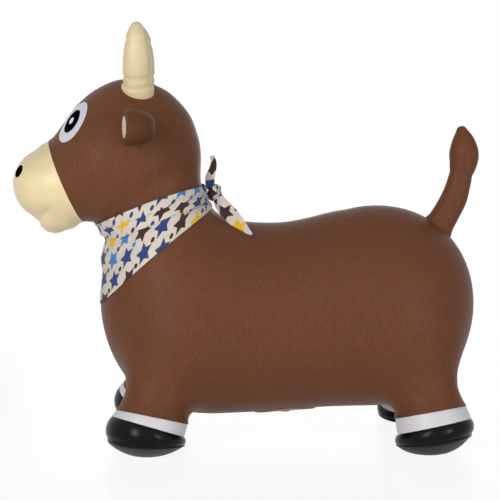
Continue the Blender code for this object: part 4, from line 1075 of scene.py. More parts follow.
def add_skin(body):
    skin = Skin(body)
    low_up = plane_up(NECK_LOW_FRONT, NECK_LOW_BACK)
    top_up = plane_up(NECK_TOP_FRONT, NECK_TOP_BACK)
    front = plane_up(PAINT_LINE_BOTTOM, PAINT_LINE_TOP)
    hems = []
    for leg in LEGS:
        for side, _ in SIDES:
            flip = Vector((1, side, 1))
            hems.append(Cut(leg.hem * flip, leg.down * flip, leg.hem_reach))
    above_torso, below_neck = Cut(NECK_LOW_FRONT, low_up), Cut(NECK_LOW_FRONT, -low_up)
    above_neck, below_head = Cut(NECK_TOP_FRONT, top_up), Cut(NECK_TOP_FRONT, -top_up)
    before_head, behind_muzzle = Cut(PAINT_LINE_TOP, front), Cut(PAINT_LINE_TOP, -front)
    add_piece("skin_torso", skin.piece([above_torso] + hems), BODY_SKIN, "torso_skin", "body")
    add_piece("skin_neck", skin.piece([below_neck, above_neck]), BODY_SKIN, "neck_skin", blend=NECK_BEND)
    add_piece("skin_head", skin.piece([below_head, before_head]), HEAD_SKIN, "head_skin", "head")
    muzzle = skin.piece([below_head, behind_muzzle], MUZZLE_CUTS, cheek, mouth)
    add_piece("skin_muzzle", muzzle, CREAM_SKIN, "muzzle_skin", "head", sharp=60)


# Feet


def add_foot(leg, side, name):
    """A white sock, a glossy hoof wall with a soft lip above its edge, and a domed sole."""
    lateral = leg.down.cross(leg.outer)
    top_radius = HEM_RADIUS - SOCK_INSET
    low_radius = top_radius + SOCK_FLARE
    sock_outer = leg.outer * math.cos(leg.sock_wedge) - leg.down * math.sin(leg.sock_wedge)
    sock_end = leg.hem + leg.down * leg.sock_height + leg.outer * leg.sock_toe

    def hoop(middle, outer, radius):
        return oval(middle, outer, lateral, radius, radius, FOOT_SIDES)

    top = hoop(leg.hem - leg.down * SOCK_RISE, leg.outer, top_radius - SOCK_TUCK)
    low = hoop(sock_end, sock_outer, low_radius)
    rings = []
    for share in np.linspace(0, 1, SOCK_RINGS):
        rings.append(shrunk(top * (1 - share) + low * share, -SOCK_BULGE * math.sin(math.pi * share)))
    rings += [shrunk(ring, WALL) for ring in (rings[-1], rings[0])]
    sock = mirrored(ring_solid(rings, closed=True), side)
    add_piece(f"sock_band_{name}", sock, SOCK_WHITE, f"sock_{name}", "body")

    pitched = Vector((leg.end * math.cos(leg.sole_pitch), 0, math.sin(leg.sole_pitch)))
    tilted = Vector((0, math.cos(SOLE_TILT), math.sin(SOLE_TILT))) * math.copysign(1, lateral.y)
    sole_middle = Vector((leg.hem.x + leg.sole_shift, leg.hem.y + SOLE_TOE_OUT, leg.sole_edge))
    edge = oval(sole_middle, pitched, tilted, leg.sole_radius, leg.sole_radius, FOOT_SIDES)
    spoke = (edge - np.array(sole_middle)) / leg.sole_radius
    start = hoop(sock_end, sock_outer, low_radius - HOOF_TUCK)
    height = np.linalg.norm(start - edge, axis=1)[:, None]
    rings = []
    for share in HOOF_SHARES:
        round_top = HOOF_ROUND * (1 - math.exp(-share / HOOF_ROUND_FADE)) * (1 - share)
        lip = HOOF_LIP * hump(share, HOOF_LIP_AT, HOOF_LIP_WIDTH)
        lip -= HOOF_GROOVE * hump(share, HOOF_GROOVE_AT, HOOF_LIP_WIDTH)
        tuck = HOOF_EDGE_TUCK * max(0, (share - HOOF_EDGE_AT) / HOOF_EDGE_SPAN) ** 2
        fullness = HOOF_FULLNESS * height * math.sin(math.pi * share**HOOF_FULLEST)
        rings.append(start * (1 - share) + edge * share + (fullness + lip + round_top - tuck) * spoke)
    rings += [shrunk(ring, WALL) for ring in (rings[-1], rings[len(rings) // 2], rings[0])]
    hoof = mirrored(ring_solid(rings, closed=True), side)
    tread = f"tread_{name}"
    low_point = sole_middle * Vector((1, side, 1))
    high_point = low_point + Vector((0, 0, HOOF_SQUASH_HEIGHT))
    bend = ("body", tread, high_point, low_point)
    add_piece(f"hoof_wall_{name}", hoof, GLOSS_BLACK, f"hoof_{name}", blend=bend)

    upward = np.array((0, 0, 1))
    ground = np.array((sole_middle.x, sole_middle.y, 0))
    tread_step = np.array((leg.tread_shift, 0, 0))
    flat_spoke = spoke * (1, 1, 0)
    outer = [edge - SOLE_LIP_INSET * spoke + SOLE_LIP_RISE * upward]
    for share in SOLE_SHARES:
        radius = TREAD_RADIUS + (leg.sole_radius - SOLE_EDGE_INSET - TREAD_RADIUS) * share
        rise = edge * upward * share**leg.sole_curve
        outer.append(ground + (1 - share) * tread_step + flat_spoke * radius + rise)
    for share in TREAD_SHARES:
        outer.append(ground + tread_step + flat_spoke * TREAD_RADIUS * share)
    inner = []
    for k, ring in enumerate(outer[:SOLE_INNER_RINGS]):
        inner.append(shrunk(ring, WALL) + SOLE_THICKNESS * upward * min(1, k / SOLE_INNER_RAMP))
    sole = mirrored(ring_solid(inner[::-1] + outer), side)
    add_piece(f"sole_dome_{name}", sole, SOLE_SKIN, f"sole_{name}", tread)


# Horns, ears and tail


def horn_seat(body):
    """The place on the crown where a horn's middle line starts."""
    return body.hit([[HORN_X, HORN_Y, ABOVE_HEAD]], (0, 0, -1))[0]


def add_horn(body, side, name):
    """A horn with soft ring bulges, on a flared rim with a groove above it."""
    middle = horn_seat(body)

    def place(share):
        lean = HORN_LEAN * (1 - share)
        out = (math.cos(lean) - math.cos(HORN_LEAN)) / HORN_LEAN
        rise = (math.sin(HORN_LEAN) - math.sin(lean)) / HORN_LEAN
        return Vector(middle) + Vector((0, out, rise)) * HORN_LENGTH, lean

    def ring(share, radius):
        point, lean = place(share)
        return oval(point, (1, 0, 0), (0, math.cos(lean), -math.sin(lean)), radius, radius, HORN_SIDES)

    def faceted(points, share):
        """Soft flutes that run up the horn and fade at both ends."""
        depth = HORN_FACET_DEPTH * math.sin(math.pi * share)
        flute = np.cos(HORN_FACETS * np.arange(HORN_SIDES) * 2 * math.pi / HORN_SIDES)
        centre = points.mean(axis=0)
        return centre + (points - centre) * (1 + depth * flute)[:, None]

    axis = Vector((0, math.sin(HORN_LEAN), math.cos(HORN_LEAN)))
    rim_share = HORN_RIM_HEIGHT / HORN_LENGTH
    start = ring(0, HORN_RIM_RADIUS + HORN_RIM_FLARE)
    foot = seat_ring(body, start, axis, -HORN_SINK)
    foot_inside = seat_ring(body, ring(0, HORN_RIM_RADIUS - WALL), axis, -HORN_SINK)
    rim = [foot]
    for share, wide in HORN_BRIM_MM:
        rise = ring(rim_share * share, HORN_RIM_RADIUS + wide * MM)
        rim.append((foot + (rise - start)) * (1 - share) + rise * share)
    rim += [shrunk(rim[-1], WALL), foot_inside]
    flip = Vector((1, side, 1))
    bend = ("head", f"horn_{name}", place(0)[0] * flip, place(rim_share)[0] * flip)
    collar = mirrored(ring_solid(rim, closed=True), side)
    add_piece(f"horn_collar_{name}", collar, HORN_SKIN, f"horn_rim_{name}", blend=bend)

    shares = 1 - (1 - rim_share) * np.linspace(1, 0, HORN_STEPS) ** HORN_CROWDING
    rings = []
    for number, share in enumerate(shares[:-1]):
        radius = HORN_RADIUS * math.sqrt(max(0, 1 - share**HORN_FULLNESS))
        for at, height, width in HORN_RINGS:
            radius += height * MM * hump(share, at, width)
        radius -= HORN_GROOVE * math.exp(-number / HORN_GROOVE_FADE)
        rings.append(faceted(ring(share, max(radius, HORN_LEAST)), share))
    rings.append(ring(1.0, HORN_TIP))
    inner = [shrunk(rings[k], WALL) for k in HORN_INNER]
    horn = mirrored(ring_solid(inner + rings), side)
    add_piece(f"horn_tip_{name}", horn, HORN_SKIN, f"horn_{name}", f"horn_{name}", sharp=70)


def add_ear(body, side, name):
    """A cupped ear with a flat front and rounded corners, a pale lining and a short root."""
    outward = Vector((math.sin(EAR_BACK_SWEEP), math.cos(EAR_BACK_SWEEP), 0))
    forward = Vector((-math.cos(EAR_BACK_SWEEP), math.sin(EAR_BACK_SWEEP), 0))
    upright = Vector((0, 0, 1))
    ear_height = horn_seat(body)[2] - EAR_BELOW_HORN - EAR_HEIGHT / 2
    base = Vector(body.hit([[EAR_X, BESIDE_HEAD, ear_height]], (0, -1, 0))[0])

    def fullness(share):
        if share < EAR_WIDEST:
            return EAR_START_SHARE + (1 - EAR_START_SHARE) * math.sin(math.pi / 2 * share / EAR_WIDEST)
        return math.sqrt(max(0, 1 - ((share - EAR_WIDEST) / (1 - EAR_WIDEST)) ** 2))

    def section(share):
        size = fullness(share)
        middle = base + outward * (EAR_ROOT_LENGTH + EAR_LENGTH * share) + forward * EAR_FRONT
        half_height = EAR_HEIGHT / 2 * size
        ring = oval(middle, -forward, upright, EAR_DEPTH * size, half_height, EAR_SIDES, EAR_ROUNDNESS)
        ahead = (ring - np.array(middle)) @ np.array(forward)
        return ring - np.outer(np.where(ahead > 0, (1 - EAR_FRONT_BULGE) * ahead, 0), forward)

    foot = oval(base, -forward, upright, EAR_ROOT_RADIUS, EAR_ROOT_RADIUS, EAR_SIDES)
    seat, seat_inside = (
        seat_ring(body, shrunk(foot, wall), outward, -EAR_SINK) for wall in (-EAR_SEAT_FLARE, WALL)
    )
    root = [seat]
    for share in EAR_ROOT_SHARES:
        ease = share * share * (3 - 2 * share)
        waist = EAR_WAIST * math.sin(math.pi * share)
        root.append(shrunk(seat * (1 - ease) + section(0) * ease, waist))
    root += [shrunk(root[-1], WALL), seat_inside]
    flip = Vector((1, side, 1))
    bend = ("head", f"ear_{name}", base * flip, (base + outward * EAR_ROOT_LENGTH) * flip)
    stem = mirrored(ring_solid(root, closed=True), side)
    add_piece(f"ear_stem_{name}", stem, EAR_SHADED_SKIN, f"ear_root_{name}", blend=bend, sharp=60)

    shares = 1 - np.linspace(1, 0, EAR_STEPS) ** EAR_CROWDING
    rings = [section(min(share, EAR_TIP_SHARE)) for share in shares]
    inner = [shrunk(rings[k], WALL) for k in EAR_INNER]
    cup = mirrored(ring_solid(inner + rings), side)
    add_piece(f"ear_cup_{name}", cup, EAR_SHADED_SKIN, f"ear_{name}", f"ear_{name}", sharp=60)

    strips = []
    for turn in LINING_TURNS:
        share = LINING_MIDDLE * (1 + LINING_SHARE * math.sin(turn))
        size = fullness(share)
        half = LINING_SHARE * EAR_HEIGHT / 2 * math.cos(turn)
        middle = base + outward * (EAR_ROOT_LENGTH + EAR_LENGTH * share)
        heights = half * LINING_SPREAD
        rise = np.minimum(1, np.abs(heights) / (EAR_HEIGHT / 2 * size))
        level = (1 - rise ** (2 / EAR_ROUNDNESS)) ** (EAR_ROUNDNESS / 2)
        front = EAR_FRONT + EAR_FRONT_BULGE * EAR_DEPTH * size * level
        crown = np.sqrt(np.maximum(0, 1 - (heights / max(half, TINY)) ** 2))
        puff = LINING_PUFF * crown * math.cos(turn) ** 0.5
        back_points = np.array(middle) + np.outer(heights, upright) + np.outer(front - LINING_SINK, forward)
        front_points = back_points + np.outer(LINING_SINK + LINING_LIFT + puff, forward)
        strips.append(np.vstack([back_points, front_points[::-1]]))
    lining = mirrored(ring_solid(strips), side)
    add_piece(f"ear_inside_{name}", lining, EAR_PINK, f"ear_lining_{name}", f"ear_{name}", sharp=60)


def add_tail(body):
    """A round tail on a flared root, with a leaf-shaped tuft that stands a little proud of the stem."""
    rows = smooth_rows(TAIL_MM, TAIL_STEPS) * MM
    heading = np.gradient(rows[:, :2], axis=0)
    heading /= np.linalg.norm(heading, axis=1)[:, None]

    def ring(x, z, run, rise, radius):
        return oval((x, 0, z), (rise, 0, -run), (0, 1, 0), radius, radius * TAIL_FLATNESS, TAIL_SIDES)

    rings = []
    for (x, z, radius), (run, rise) in zip(rows, heading):
        radius += TUFT_LIP * hump(z, TUFT_START + TUFT_LIP_WIDTH, TUFT_LIP_WIDTH)
        radius -= TUFT_LIP * hump(z, TUFT_START, TUFT_LIP_WIDTH)
        rings.append(ring(x, z, run, rise, radius))
    (x, z, radius), (run, rise) = rows[-1], heading[-1]
    for step, share in TAIL_TIP_MM:
        rings.append(ring(x + run * step * MM, z + rise * step * MM, run, rise, radius * share))
    axis = Vector((heading[0, 0], 0, heading[0, 1]))
    root_top = rings[0] + TAIL_ROOT_LENGTH * np.array(axis)
    seat = seat_ring(body, shrunk(rings[0], -TAIL_FLARE), axis, -TAIL_SINK)
    seat_inside = seat_ring(body, shrunk(rings[0], WALL), axis, -TAIL_SINK)
    landed = seat_ring(body, rings[0], axis, 0)
    root = [seat]
    for share in TAIL_ROOT_SHARES:
        root.append(shrunk(landed * (1 - share) + root_top * share, -TAIL_FLARE * (1 - share) ** 3))
    root += [shrunk(root_top, WALL), seat_inside]
    pivot = Vector((rows[0, 0], 0, rows[0, 1]))
    bend = ("body", "tail", pivot, pivot + axis * TAIL_ROOT_LENGTH)
    add_piece("tail_stem", ring_solid(root, closed=True), BODY_SKIN, "tail_root", blend=bend, sharp=60)
    shaft = [root_top]
    for points in rings:
        if (points.mean(axis=0) - np.array(pivot)) @ np.array(axis) > TAIL_ROOT_LENGTH + TAIL_GAP:
            shaft.append(points)
    inner = [shrunk(shaft[k], WALL) for k in TAIL_INNER]
    add_piece("tail_tuft", ring_solid(inner + shaft), BODY_SKIN, "tail", "tail", sharp=60)


# Face and valve


def patch(body, spot, view, along, half_along, half_across, lift, crown, hole=0.0):
    """A thin oval layer on the skin where a view meets it, with a soft edge and an optional hole."""
    point = body.hit([spot], view)
    facing = (Vector(body.outward(point)[0]) - Vector(view)).normalized()
    along = (along - facing * along.dot(facing)).normalized()
    across = facing.cross(along)
    middle = Vector(point[0]) + facing * PATCH_START
    rings = []
    shares = np.linspace(1, hole or PATCH_CORE, PATCH_RINGS)
    for share in shares:
        ring = oval(middle, along, across, half_along * share, half_across * share, PATCH_SIDES)
        rings.append(body.hit(ring, -facing))
    below = [ring - PATCH_SINK * body.outward(ring) for ring in (rings[0], rings[-1])]
    above = []
    for share, ring in zip(shares, rings):
        rise = 1.0 if hole else math.sqrt(max(0, 1 - share**PATCH_ROUNDING))
        above.append(ring + (lift + crown * rise) * body.outward(ring))
    if hole:
        return ring_solid(below + above[::-1], closed=True)
    return ring_solid(below[::-1] + above)


def add_face(body, side, name):
    """The painted eye, in three layers, and the nostril."""
    eye = (EYE_MIDDLE, EYE_HALF_LENGTH, EYE_HALF_WIDTH, EYE_LEAN)
    nostril = (NOSTRIL_MIDDLE, NOSTRIL_HALF_LENGTH, NOSTRIL_HALF_WIDTH, NOSTRIL_LEAN)
    for piece, node, spot, share, lift, finish in (
        ("eye_oval", "eye_white", eye, 1, PAINT_LIFT, EYE_PAINT),
        ("eye_dark", "eye_pupil", eye, PUPIL_SHARE, PUPIL_LIFT, BLACK_PAINT),
        ("eye_spark", "eye_glint", eye, GLINT_SHARE, GLINT_LIFT, GLINT_PAINT),
        ("nostril_oval", "nostril", nostril, 1, PAINT_LIFT, BLACK_PAINT),
    ):
        middle, half_length, half_width, lean = spot
        along = Vector((math.sin(lean), 0, math.cos(lean)))
        halves = half_length * share, half_width * share
        layer = mirrored(patch(body, middle, (0, -1, 0), along, *halves, lift, PAINT_CROWN), side)
        add_piece(f"{piece}_{name}", layer, finish, f"{node}_{name}", "head", sharp=50)


def add_valve(body):
    """A welded plate under the belly, the valve tube and its plug."""
    east, north = Vector((1, 0, 0)), Vector((0, 1, 0))
    below, upward = (VALVE_X, 0, 0), (0, 0, 1)
    belly = Vector(body.hit([below], upward)[0])
    hole = VALVE_RADIUS / PLATE_RADIUS
    plate = patch(body, below, upward, east, PLATE_RADIUS, PLATE_RADIUS, PLATE_LIFT, PLATE_CROWN, hole)

    def turned(profile, closed):
        rings = []
        for radius, height in profile:
            middle = (VALVE_X, 0, belly.z + height * MM)
            rings.append(oval(middle, east, north, radius, radius, PATCH_SIDES))
        return ring_solid(rings, closed)

    add_piece("valve_disc", plate, VALVE_SKIN, "valve_plate", "body", sharp=50)
    add_piece("valve_tube", turned(TUBE_PROFILE, True), VALVE_SKIN, "valve_body", "body", sharp=50)
    add_piece("valve_stopper", turned(PLUG_PROFILE, False), PLUG_SKIN, "valve_plug", "plug", sharp=50)


# Bandana


WRAP_TOP_FRONT = Vector((-176, 0, 262)) * MM
WRAP_TOP_BACK = Vector((-46, 0, 308.6)) * MM
WRAP_LOW_FRONT = Vector((-174, 0, 168)) * MM
WRAP_LOW_BACK = Vector((-45, 0, 278)) * MM
WRAP_SIDE_RISE = 8 * MM
WRAP_COLUMNS = 240
PRINT_EASE = 0.5
CLOTH_THICKNESS = 0.9 * MM
WRAP_REACH = 0.16
CLOTH_BLUR = 5
CLOTH_LIFT = 1.2 * MM
# Where each pleat's edge lies at the front, as a share of the way down, and how much lower it is at the nape
PLEATS = ((0.06, 0.24), (0.21, 0.36))
PLEAT_ROWS = (10, 13, 34)
PLEAT_TUCK = 0.035
PLEAT_LIFT = 1.5 * MM
PLEAT_LIFT_FRONT = 0.25 * MM
PLEAT_PUFF = 1.6 * MM
FLAT_PUFF = 0.8 * MM
# Size, waves in a round and start of each wave of the pleats' edges
WANDER = ((0.012, 5, 1.0), (0.008, 11, 0.0))
RIPPLE = 0.9 * MM

# How far the cloth stands off the skin at the very front, in mm, by its share of the way down: the top band
# bulges, nips in under its edge, and the triangle bulges again before it lies flat on the chest.
FRONT_REACH = 0.55
FRONT_PROFILE_MM = (
    (0, 1.0),
    (0.03, 1.0),
    (0.07, 1.9),
    (0.145, 5.4),
    (0.225, 0.6),
    (0.30, 4.8),
    (0.41, 7.0),
    (0.47, 6.5),
    (0.58, 3.0),
    (0.73, 1.2),
    (1, 1.1),
)


def blurred(values, width):
    """A ring of columns, smoothed along the ring."""
    reach = np.arange(-3 * width, 3 * width + 1)
    weights = np.exp(-((reach / width) ** 2))
    weights /= weights.sum()
    return sum(w * np.roll(values, k, axis=0) for k, w in zip(reach, weights))


# Folds that fan from the knot to the front: place down the cloth at the front and at the nape, half width as
# a share of the cloth, depth in mm, and the turns between which each is deepest.
FOLDS = (
    (0.02, 0.26, 0.022, 1.2, -2.9, -1.7),
    (0.20, 0.46, 0.026, 1.6, -2.9, -1.9),
    (0.42, 0.62, 0.030, 1.5, -2.9, -2.0),
    (0.64, 0.76, 0.040, 1.1, -2.9, -2.1),
    (0.33, 0.47, 0.028, 1.5, -1.3, -0.4),
    (0.60, 0.40, 0.040, 0.9, -1.1, -0.3),
    (0.12, 0.36, 0.024, 2.0, 0.4, 2.8),
    (0.28, 0.50, 0.030, 2.4, 0.3, 2.9),
    (0.45, 0.60, 0.035, 2.0, 0.6, 2.4),
    (0.66, 0.72, 0.040, 1.4, 0.5, 2.0),
)
FOLD_FADE = 0.12
FOLD_RIDGE = 0.7
FOLD_RIDGE_AT = -1.8
FOLD_RIDGE_WIDTH = 1.3
FOLD_SHARPNESS = 1.4


def folds(turn, front, down):
    """How far sharp valleys and the soft ridges above them move the cloth."""
    move = np.zeros_like(down)
    for at_front, at_nape, width, deep, first, last in FOLDS:
        middle = at_front * front + at_nape * (1 - front)
        window = 1 / (1 + np.exp((first - turn) / FOLD_FADE)) / (1 + np.exp((turn - last) / FOLD_FADE))
        gap = (down - middle[:, None]) / width
        ridge = FOLD_RIDGE * np.exp(-(((gap - FOLD_RIDGE_AT) / FOLD_RIDGE_WIDTH) ** 2))
        valley = np.exp(-np.abs(gap) ** FOLD_SHARPNESS)
        move += deep * MM * window[:, None] * (ridge - valley)
    return move


def add_wrap(body):
    """Cotton folded round the neck in three overlapping pleats, with a deep triangle on the chest."""
    turn = np.linspace(-math.pi, math.pi, WRAP_COLUMNS, endpoint=False)
    front = (1 + np.cos(turn)) / 2
    wander = sum(size * np.sin(waves * turn + start) for size, waves, start in WANDER)
    upper, lower = (at + more * (1 - front) + wander for at, more in PLEATS)
    spans = (
        (np.zeros(WRAP_COLUMNS), upper + PLEAT_TUCK),
        (upper - PLEAT_TUCK / 2, lower + PLEAT_TUCK),
        (lower - PLEAT_TUCK / 2, np.ones(WRAP_COLUMNS)),
    )
    rows, layer, lips = [], [], []
    for (start, end), count, level in zip(spans, PLEAT_ROWS, (2, 1, 0)):
        for share in np.linspace(0, 1, count):
            rows.append(start * (1 - share) + end * share)
            layer.append(level)
            lips.append(share)
    down = np.stack(rows, axis=1)
    layer, lips = np.array(layer), np.array(lips)

    top_front, top_back = np.array(WRAP_TOP_FRONT), np.array(WRAP_TOP_BACK)
    fronts = top_front + down[..., None] * (np.array(WRAP_LOW_FRONT) - top_front)
    backs = top_back + down[..., None] * (np.array(WRAP_LOW_BACK) - top_back)
    middles = (fronts + backs) / 2
    middles[..., 2] += WRAP_SIDE_RISE * (np.sin(turn) ** 2)[:, None]
    ahead = fronts - backs
    ahead /= np.linalg.norm(ahead, axis=2)[..., None]
    rays = np.cos(turn)[:, None, None] * ahead + np.sin(turn)[:, None, None] * np.array((0, 1, 0))
    shape = down.shape
    depth = body.leave(middles.reshape(-1, 3), rays.reshape(-1, 3), WRAP_REACH).reshape(shape)
    depth = np.maximum(depth, blurred(depth, CLOTH_BLUR))
    lift = CLOTH_LIFT + layer * PLEAT_LIFT
    puff = np.where(layer == 0, FLAT_PUFF, PLEAT_PUFF) * np.sin(math.pi * lips)
    at_front = np.exp(-((turn / FRONT_REACH) ** 2))[:, None]
    profile = np.interp(down, *np.array(FRONT_PROFILE_MM).T) * MM
    depth = depth + (lift + puff) * (1 - at_front) + (profile + layer * PLEAT_LIFT_FRONT) * at_front
    ripple = np.sin(3 * turn + 0.6)[:, None] * np.sin(math.pi * down) + 0.6 * np.sin(7 * turn)[:, None] * down
    depth += RIPPLE * ripple * (1 - at_front)
    depth += folds(turn, front, down)
    outside = middles + depth[..., None] * rays
    inside = middles + (depth - CLOTH_THICKNESS)[..., None] * rays

    arc = np.linalg.norm(np.roll(outside, -1, axis=0) - outside, axis=2)
    rounds = np.concatenate([np.zeros((1, arc.shape[1])), np.cumsum(arc, axis=0)])
    middle_row = rounds[:, [arc.shape[1] // 2]]
    quarter = WRAP_COLUMNS // 4
    along = np.repeat(middle_row - middle_row[quarter], arc.shape[1], axis=1)
    for anchor in (quarter, 3 * quarter):
        own = rounds - rounds[anchor] - (middle_row - middle_row[anchor])
        near = 1 - np.abs(np.arange(WRAP_COLUMNS + 1) - anchor) / quarter
        ease = np.clip(near / PRINT_EASE, 0, 1)[:, None]
        along += ease * ease * (3 - 2 * ease) * own
    drop = np.cumsum(np.linalg.norm(np.diff(outside, axis=1), axis=2), axis=1)
    drop = np.concatenate([np.zeros((WRAP_COLUMNS, 1)), drop], axis=1)
    drop = drop - drop[:, -1:]

    columns, count = shape
    corners = np.concatenate([outside.reshape(-1, 3), inside.reshape(-1, 3)])
    faces, uv = [], []

    def at(c, r, face=0):
        return face * columns * count + (c % columns) * count + r

    def mark(c, r):
        return (along[c, r], drop[c % columns, r])

    for c in range(columns):
        for r in range(count - 1):
            spots = [(c, r), (c, r + 1), (c + 1, r + 1), (c + 1, r)]
            for side in (0, 1):
                order = spots if side == 0 else spots[::-1]
                faces.append([at(*spot, side) for spot in order])
                uv.append([mark(*spot) for spot in order])
        for r, flipped in ((0, False), (count - 1, True)):
            order = [(c, r, 0), (c + 1, r, 0), (c + 1, r, 1), (c, r, 1)]
            order = order[::-1] if flipped else order
            faces.append([at(*spot) for spot in order])
            uv.append([mark(spot[0], spot[1]) for spot in order])
    cloth = (corners, faces)
    return add_piece("bandana_band", cloth, COTTON_PRINT, "bandana_wrap", blend=NECK_BEND, sharp=50, uv=uv)


def printed(rings, marks):
    """A solid of rings, and the place on the print of each corner of its faces."""
    corners, faces = ring_solid(rings)
    marks = np.vstack(marks + [marks[0].mean(axis=0)[None], marks[-1].mean(axis=0)[None]])
    return (corners, faces), [[tuple(marks[k]) for k in face] for face in faces]


def ribbon(path, across, widths, thickness, cup, print_at, columns=9):
    """A thin strip of cloth along a path, with a way across and a width at each point."""
    path, across = np.array(path), np.array(across)
    along = np.gradient(path, axis=0)
    along /= np.linalg.norm(along, axis=1)[:, None]
    normal = np.cross(along, across)
    normal /= np.linalg.norm(normal, axis=1)[:, None]
    across = np.cross(normal, along)
    spans = np.linspace(-0.5, 0.5, columns)
    length = np.concatenate([[0], np.cumsum(np.linalg.norm(np.diff(path, axis=0), axis=1))])
    rings, marks = [], []
    for k in range(len(path)):
        bow = cup[k] * (1 - (2 * spans) ** 2)
        face = path[k] + np.outer(spans * widths[k], across[k]) + np.outer(bow, normal[k])
        rings.append(np.vstack([face, (face - thickness * normal[k])[::-1]]))
        mark = np.array(print_at) + np.stack([spans * widths[k], np.full(columns, length[k])], axis=1)
        marks.append(np.vstack([mark, mark[::-1]]))
    return printed(rings, marks)


KNOT_MIDDLE = np.array((-38.8, 0, 298.1)) * MM
KNOT_RADII = np.array((8.8, 12.5, 10.4)) * MM
KNOT_SIDES = 48
KNOT_RINGS = 29
KNOT_TILT = math.radians(86)
KNOT_ROUNDING = 0.8
# Size, waves in a round and twist of each fold of the knot
KNOT_FOLDS = ((0.10, 3, 2.2), (0.05, 8, -3.0))
KNOT_WAIST = 0.16
KNOT_WAIST_AT = 0.15
KNOT_WAIST_WIDTH = 0.16
KNOT_PRINT = np.array((10, 14)) * MM
UPPER_END_MM = [
    (-43.6, -5, 303.6),
    (-44.4, -13, 312),
    (-44, -20, 319.6),
    (-41.6, -23, 327.6),
    (-40.2, -24, 334.6),
    (-41.6, -24, 343.2),
]
UPPER_STEPS = 6
UPPER_SPIN = (0.2, 0.9)
UPPER_THICKNESS = 1.6 * MM
UPPER_CUP = 2.6 * MM
UPPER_WIDTHS_MM = ((0, 9), (0.2, 11), (0.4, 12.5), (0.6, 11), (0.8, 9), (0.95, 7), (1, 2))
UPPER_PRINT = Vector((13.25, -20)) * MM
LOWER_START_MM = ((-36, -5, 296.6), (-30.6, -14, 285.4), (-19.6, -24, 273.6))
# Where the lower end lies on the back: x, y and lift in mm
LOWER_REST_MM = ((-7.4, -36, 3.4), (7, -50, 2.2))
LOWER_STEPS = 7
LOWER_ACROSS = (0.75, 0.0, 0.65)
LOWER_THICKNESS = 1.4 * MM
LOWER_CUP = 1.6 * MM
LOWER_ROOT_WIDTH = 7 * MM
LOWER_BELLY = 12 * MM
LOWER_LEAST = 2 * MM
LOWER_PRINT = Vector((-194.75, 91.75)) * MM
LOWER_TAPER = 0.24


def add_knot(body):
    """The knot at the nape, a twisted short end that stands up and a flat long end that lies on the back."""
    rings, marks = [], []
    turn = np.arange(KNOT_SIDES) * 2 * math.pi / KNOT_SIDES
    for share in np.linspace(-1, 1, KNOT_RINGS):
        tilt = share * KNOT_TILT
        fold = 1 + sum(size * np.sin(waves * turn + twist * share) for size, waves, twist in KNOT_FOLDS)
        waist = 1 - KNOT_WAIST * hump(share, KNOT_WAIST_AT, KNOT_WAIST_WIDTH)
        girth = math.cos(tilt) ** KNOT_ROUNDING * fold * waist
        level = np.full(KNOT_SIDES, math.sin(tilt))
        ring = np.stack([girth * np.cos(turn), girth * np.sin(turn), level], axis=1)
        rings.append(KNOT_MIDDLE + KNOT_RADII * ring)
        marks.append(KNOT_PRINT * np.stack([turn, np.full(KNOT_SIDES, share)], axis=1))
    pieces = [("tie", "knot", *printed(rings, marks))]

    path = smooth_rows(UPPER_END_MM, UPPER_STEPS) * MM
    share = np.linspace(0, 1, len(path))
    spin = UPPER_SPIN[0] + UPPER_SPIN[1] * share
    across = np.stack([np.cos(spin), np.sin(spin), np.zeros_like(spin)], axis=1)
    widths = np.interp(share, *np.array(UPPER_WIDTHS_MM).T) * MM
    cup = np.full(len(path), UPPER_CUP)
    end = ribbon(path, across, widths, UPPER_THICKNESS, cup, UPPER_PRINT)
    pieces.append(("tip_upper", "end_upper", *end))

    points = [np.array(point) * MM for point in LOWER_START_MM]
    for x, y, lift in LOWER_REST_MM:
        landed = body.hit([[x * MM, y * MM, ABOVE_BACK]], (0, 0, -1))[0]
        points.append(landed + np.array((0, 0, lift)) * MM)
    path = smooth_rows(points, LOWER_STEPS)
    share = np.linspace(0, 1, len(path))
    across = np.repeat([LOWER_ACROSS], len(path), axis=0)
    belly = np.sin(math.pi * share**0.9) ** 0.8 * (1 - 0.2 * share)
    taper = np.clip((1 - share) / LOWER_TAPER, 0, 1) ** 0.7
    widths = np.maximum((LOWER_ROOT_WIDTH + LOWER_BELLY * belly) * taper, LOWER_LEAST)
    cup = LOWER_CUP * (1 - share)
    end = ribbon(path, across, widths, LOWER_THICKNESS, cup, LOWER_PRINT)
    pieces.append(("tip_lower", "end_lower", *end))
    return [
        add_piece(f"bandana_{name}", solid, COTTON_PRINT, f"bandana_{node}", "body", sharp=60, uv=uv)
        for name, node, solid, uv in pieces
    ]


# Stage


FLOOR_REACH = 12.0
FLOOR_WHITE = (0.95, 0.95, 0.95, 1)
FLOOR_FADE = (0.45, 1.0)
FLOOR_GLOW = (0.9, 1.0)
WORLD_LIGHT = (0.205, 1.0)
LAMP_TARGET = Vector((0, 0, 0.22))
# Name, place, power in W, width and height of each lamp
LAMPS = (
    ("key", (-1.3, -2.1, 0.9), 34, 0.6, 1.6),
    ("fill", (1.5, -2.0, 0.35), 23, 0.45, 1.5),
    ("top", (0.2, 0.3, 2.4), 0.05, 1.6, 1.2),
    ("back", (0.2, 2.5, 0.3), 11, 1.6, 1.0),
)
CAMERA_TARGET = Vector((0.004, 0, 0.2286))
CAMERA_AZIMUTH = math.radians(-2)
CAMERA_ELEVATION = math.radians(6.4)
CAMERA_DISTANCE = 1.670
CAMERA_SENSOR_MM = 36
CAMERA_LENS_MM = 99.72


def seen(tree):
    """One for the rays that show the surround: from the camera, a gloss or a see-through surface."""
    path = make(tree, "ShaderNodeLightPath").outputs
    through = calc(tree, "MAXIMUM", path["Is Glossy Ray"], path["Is Transmission Ray"])
    return calc(tree, "MAXIMUM", path["Is Camera Ray"], through)


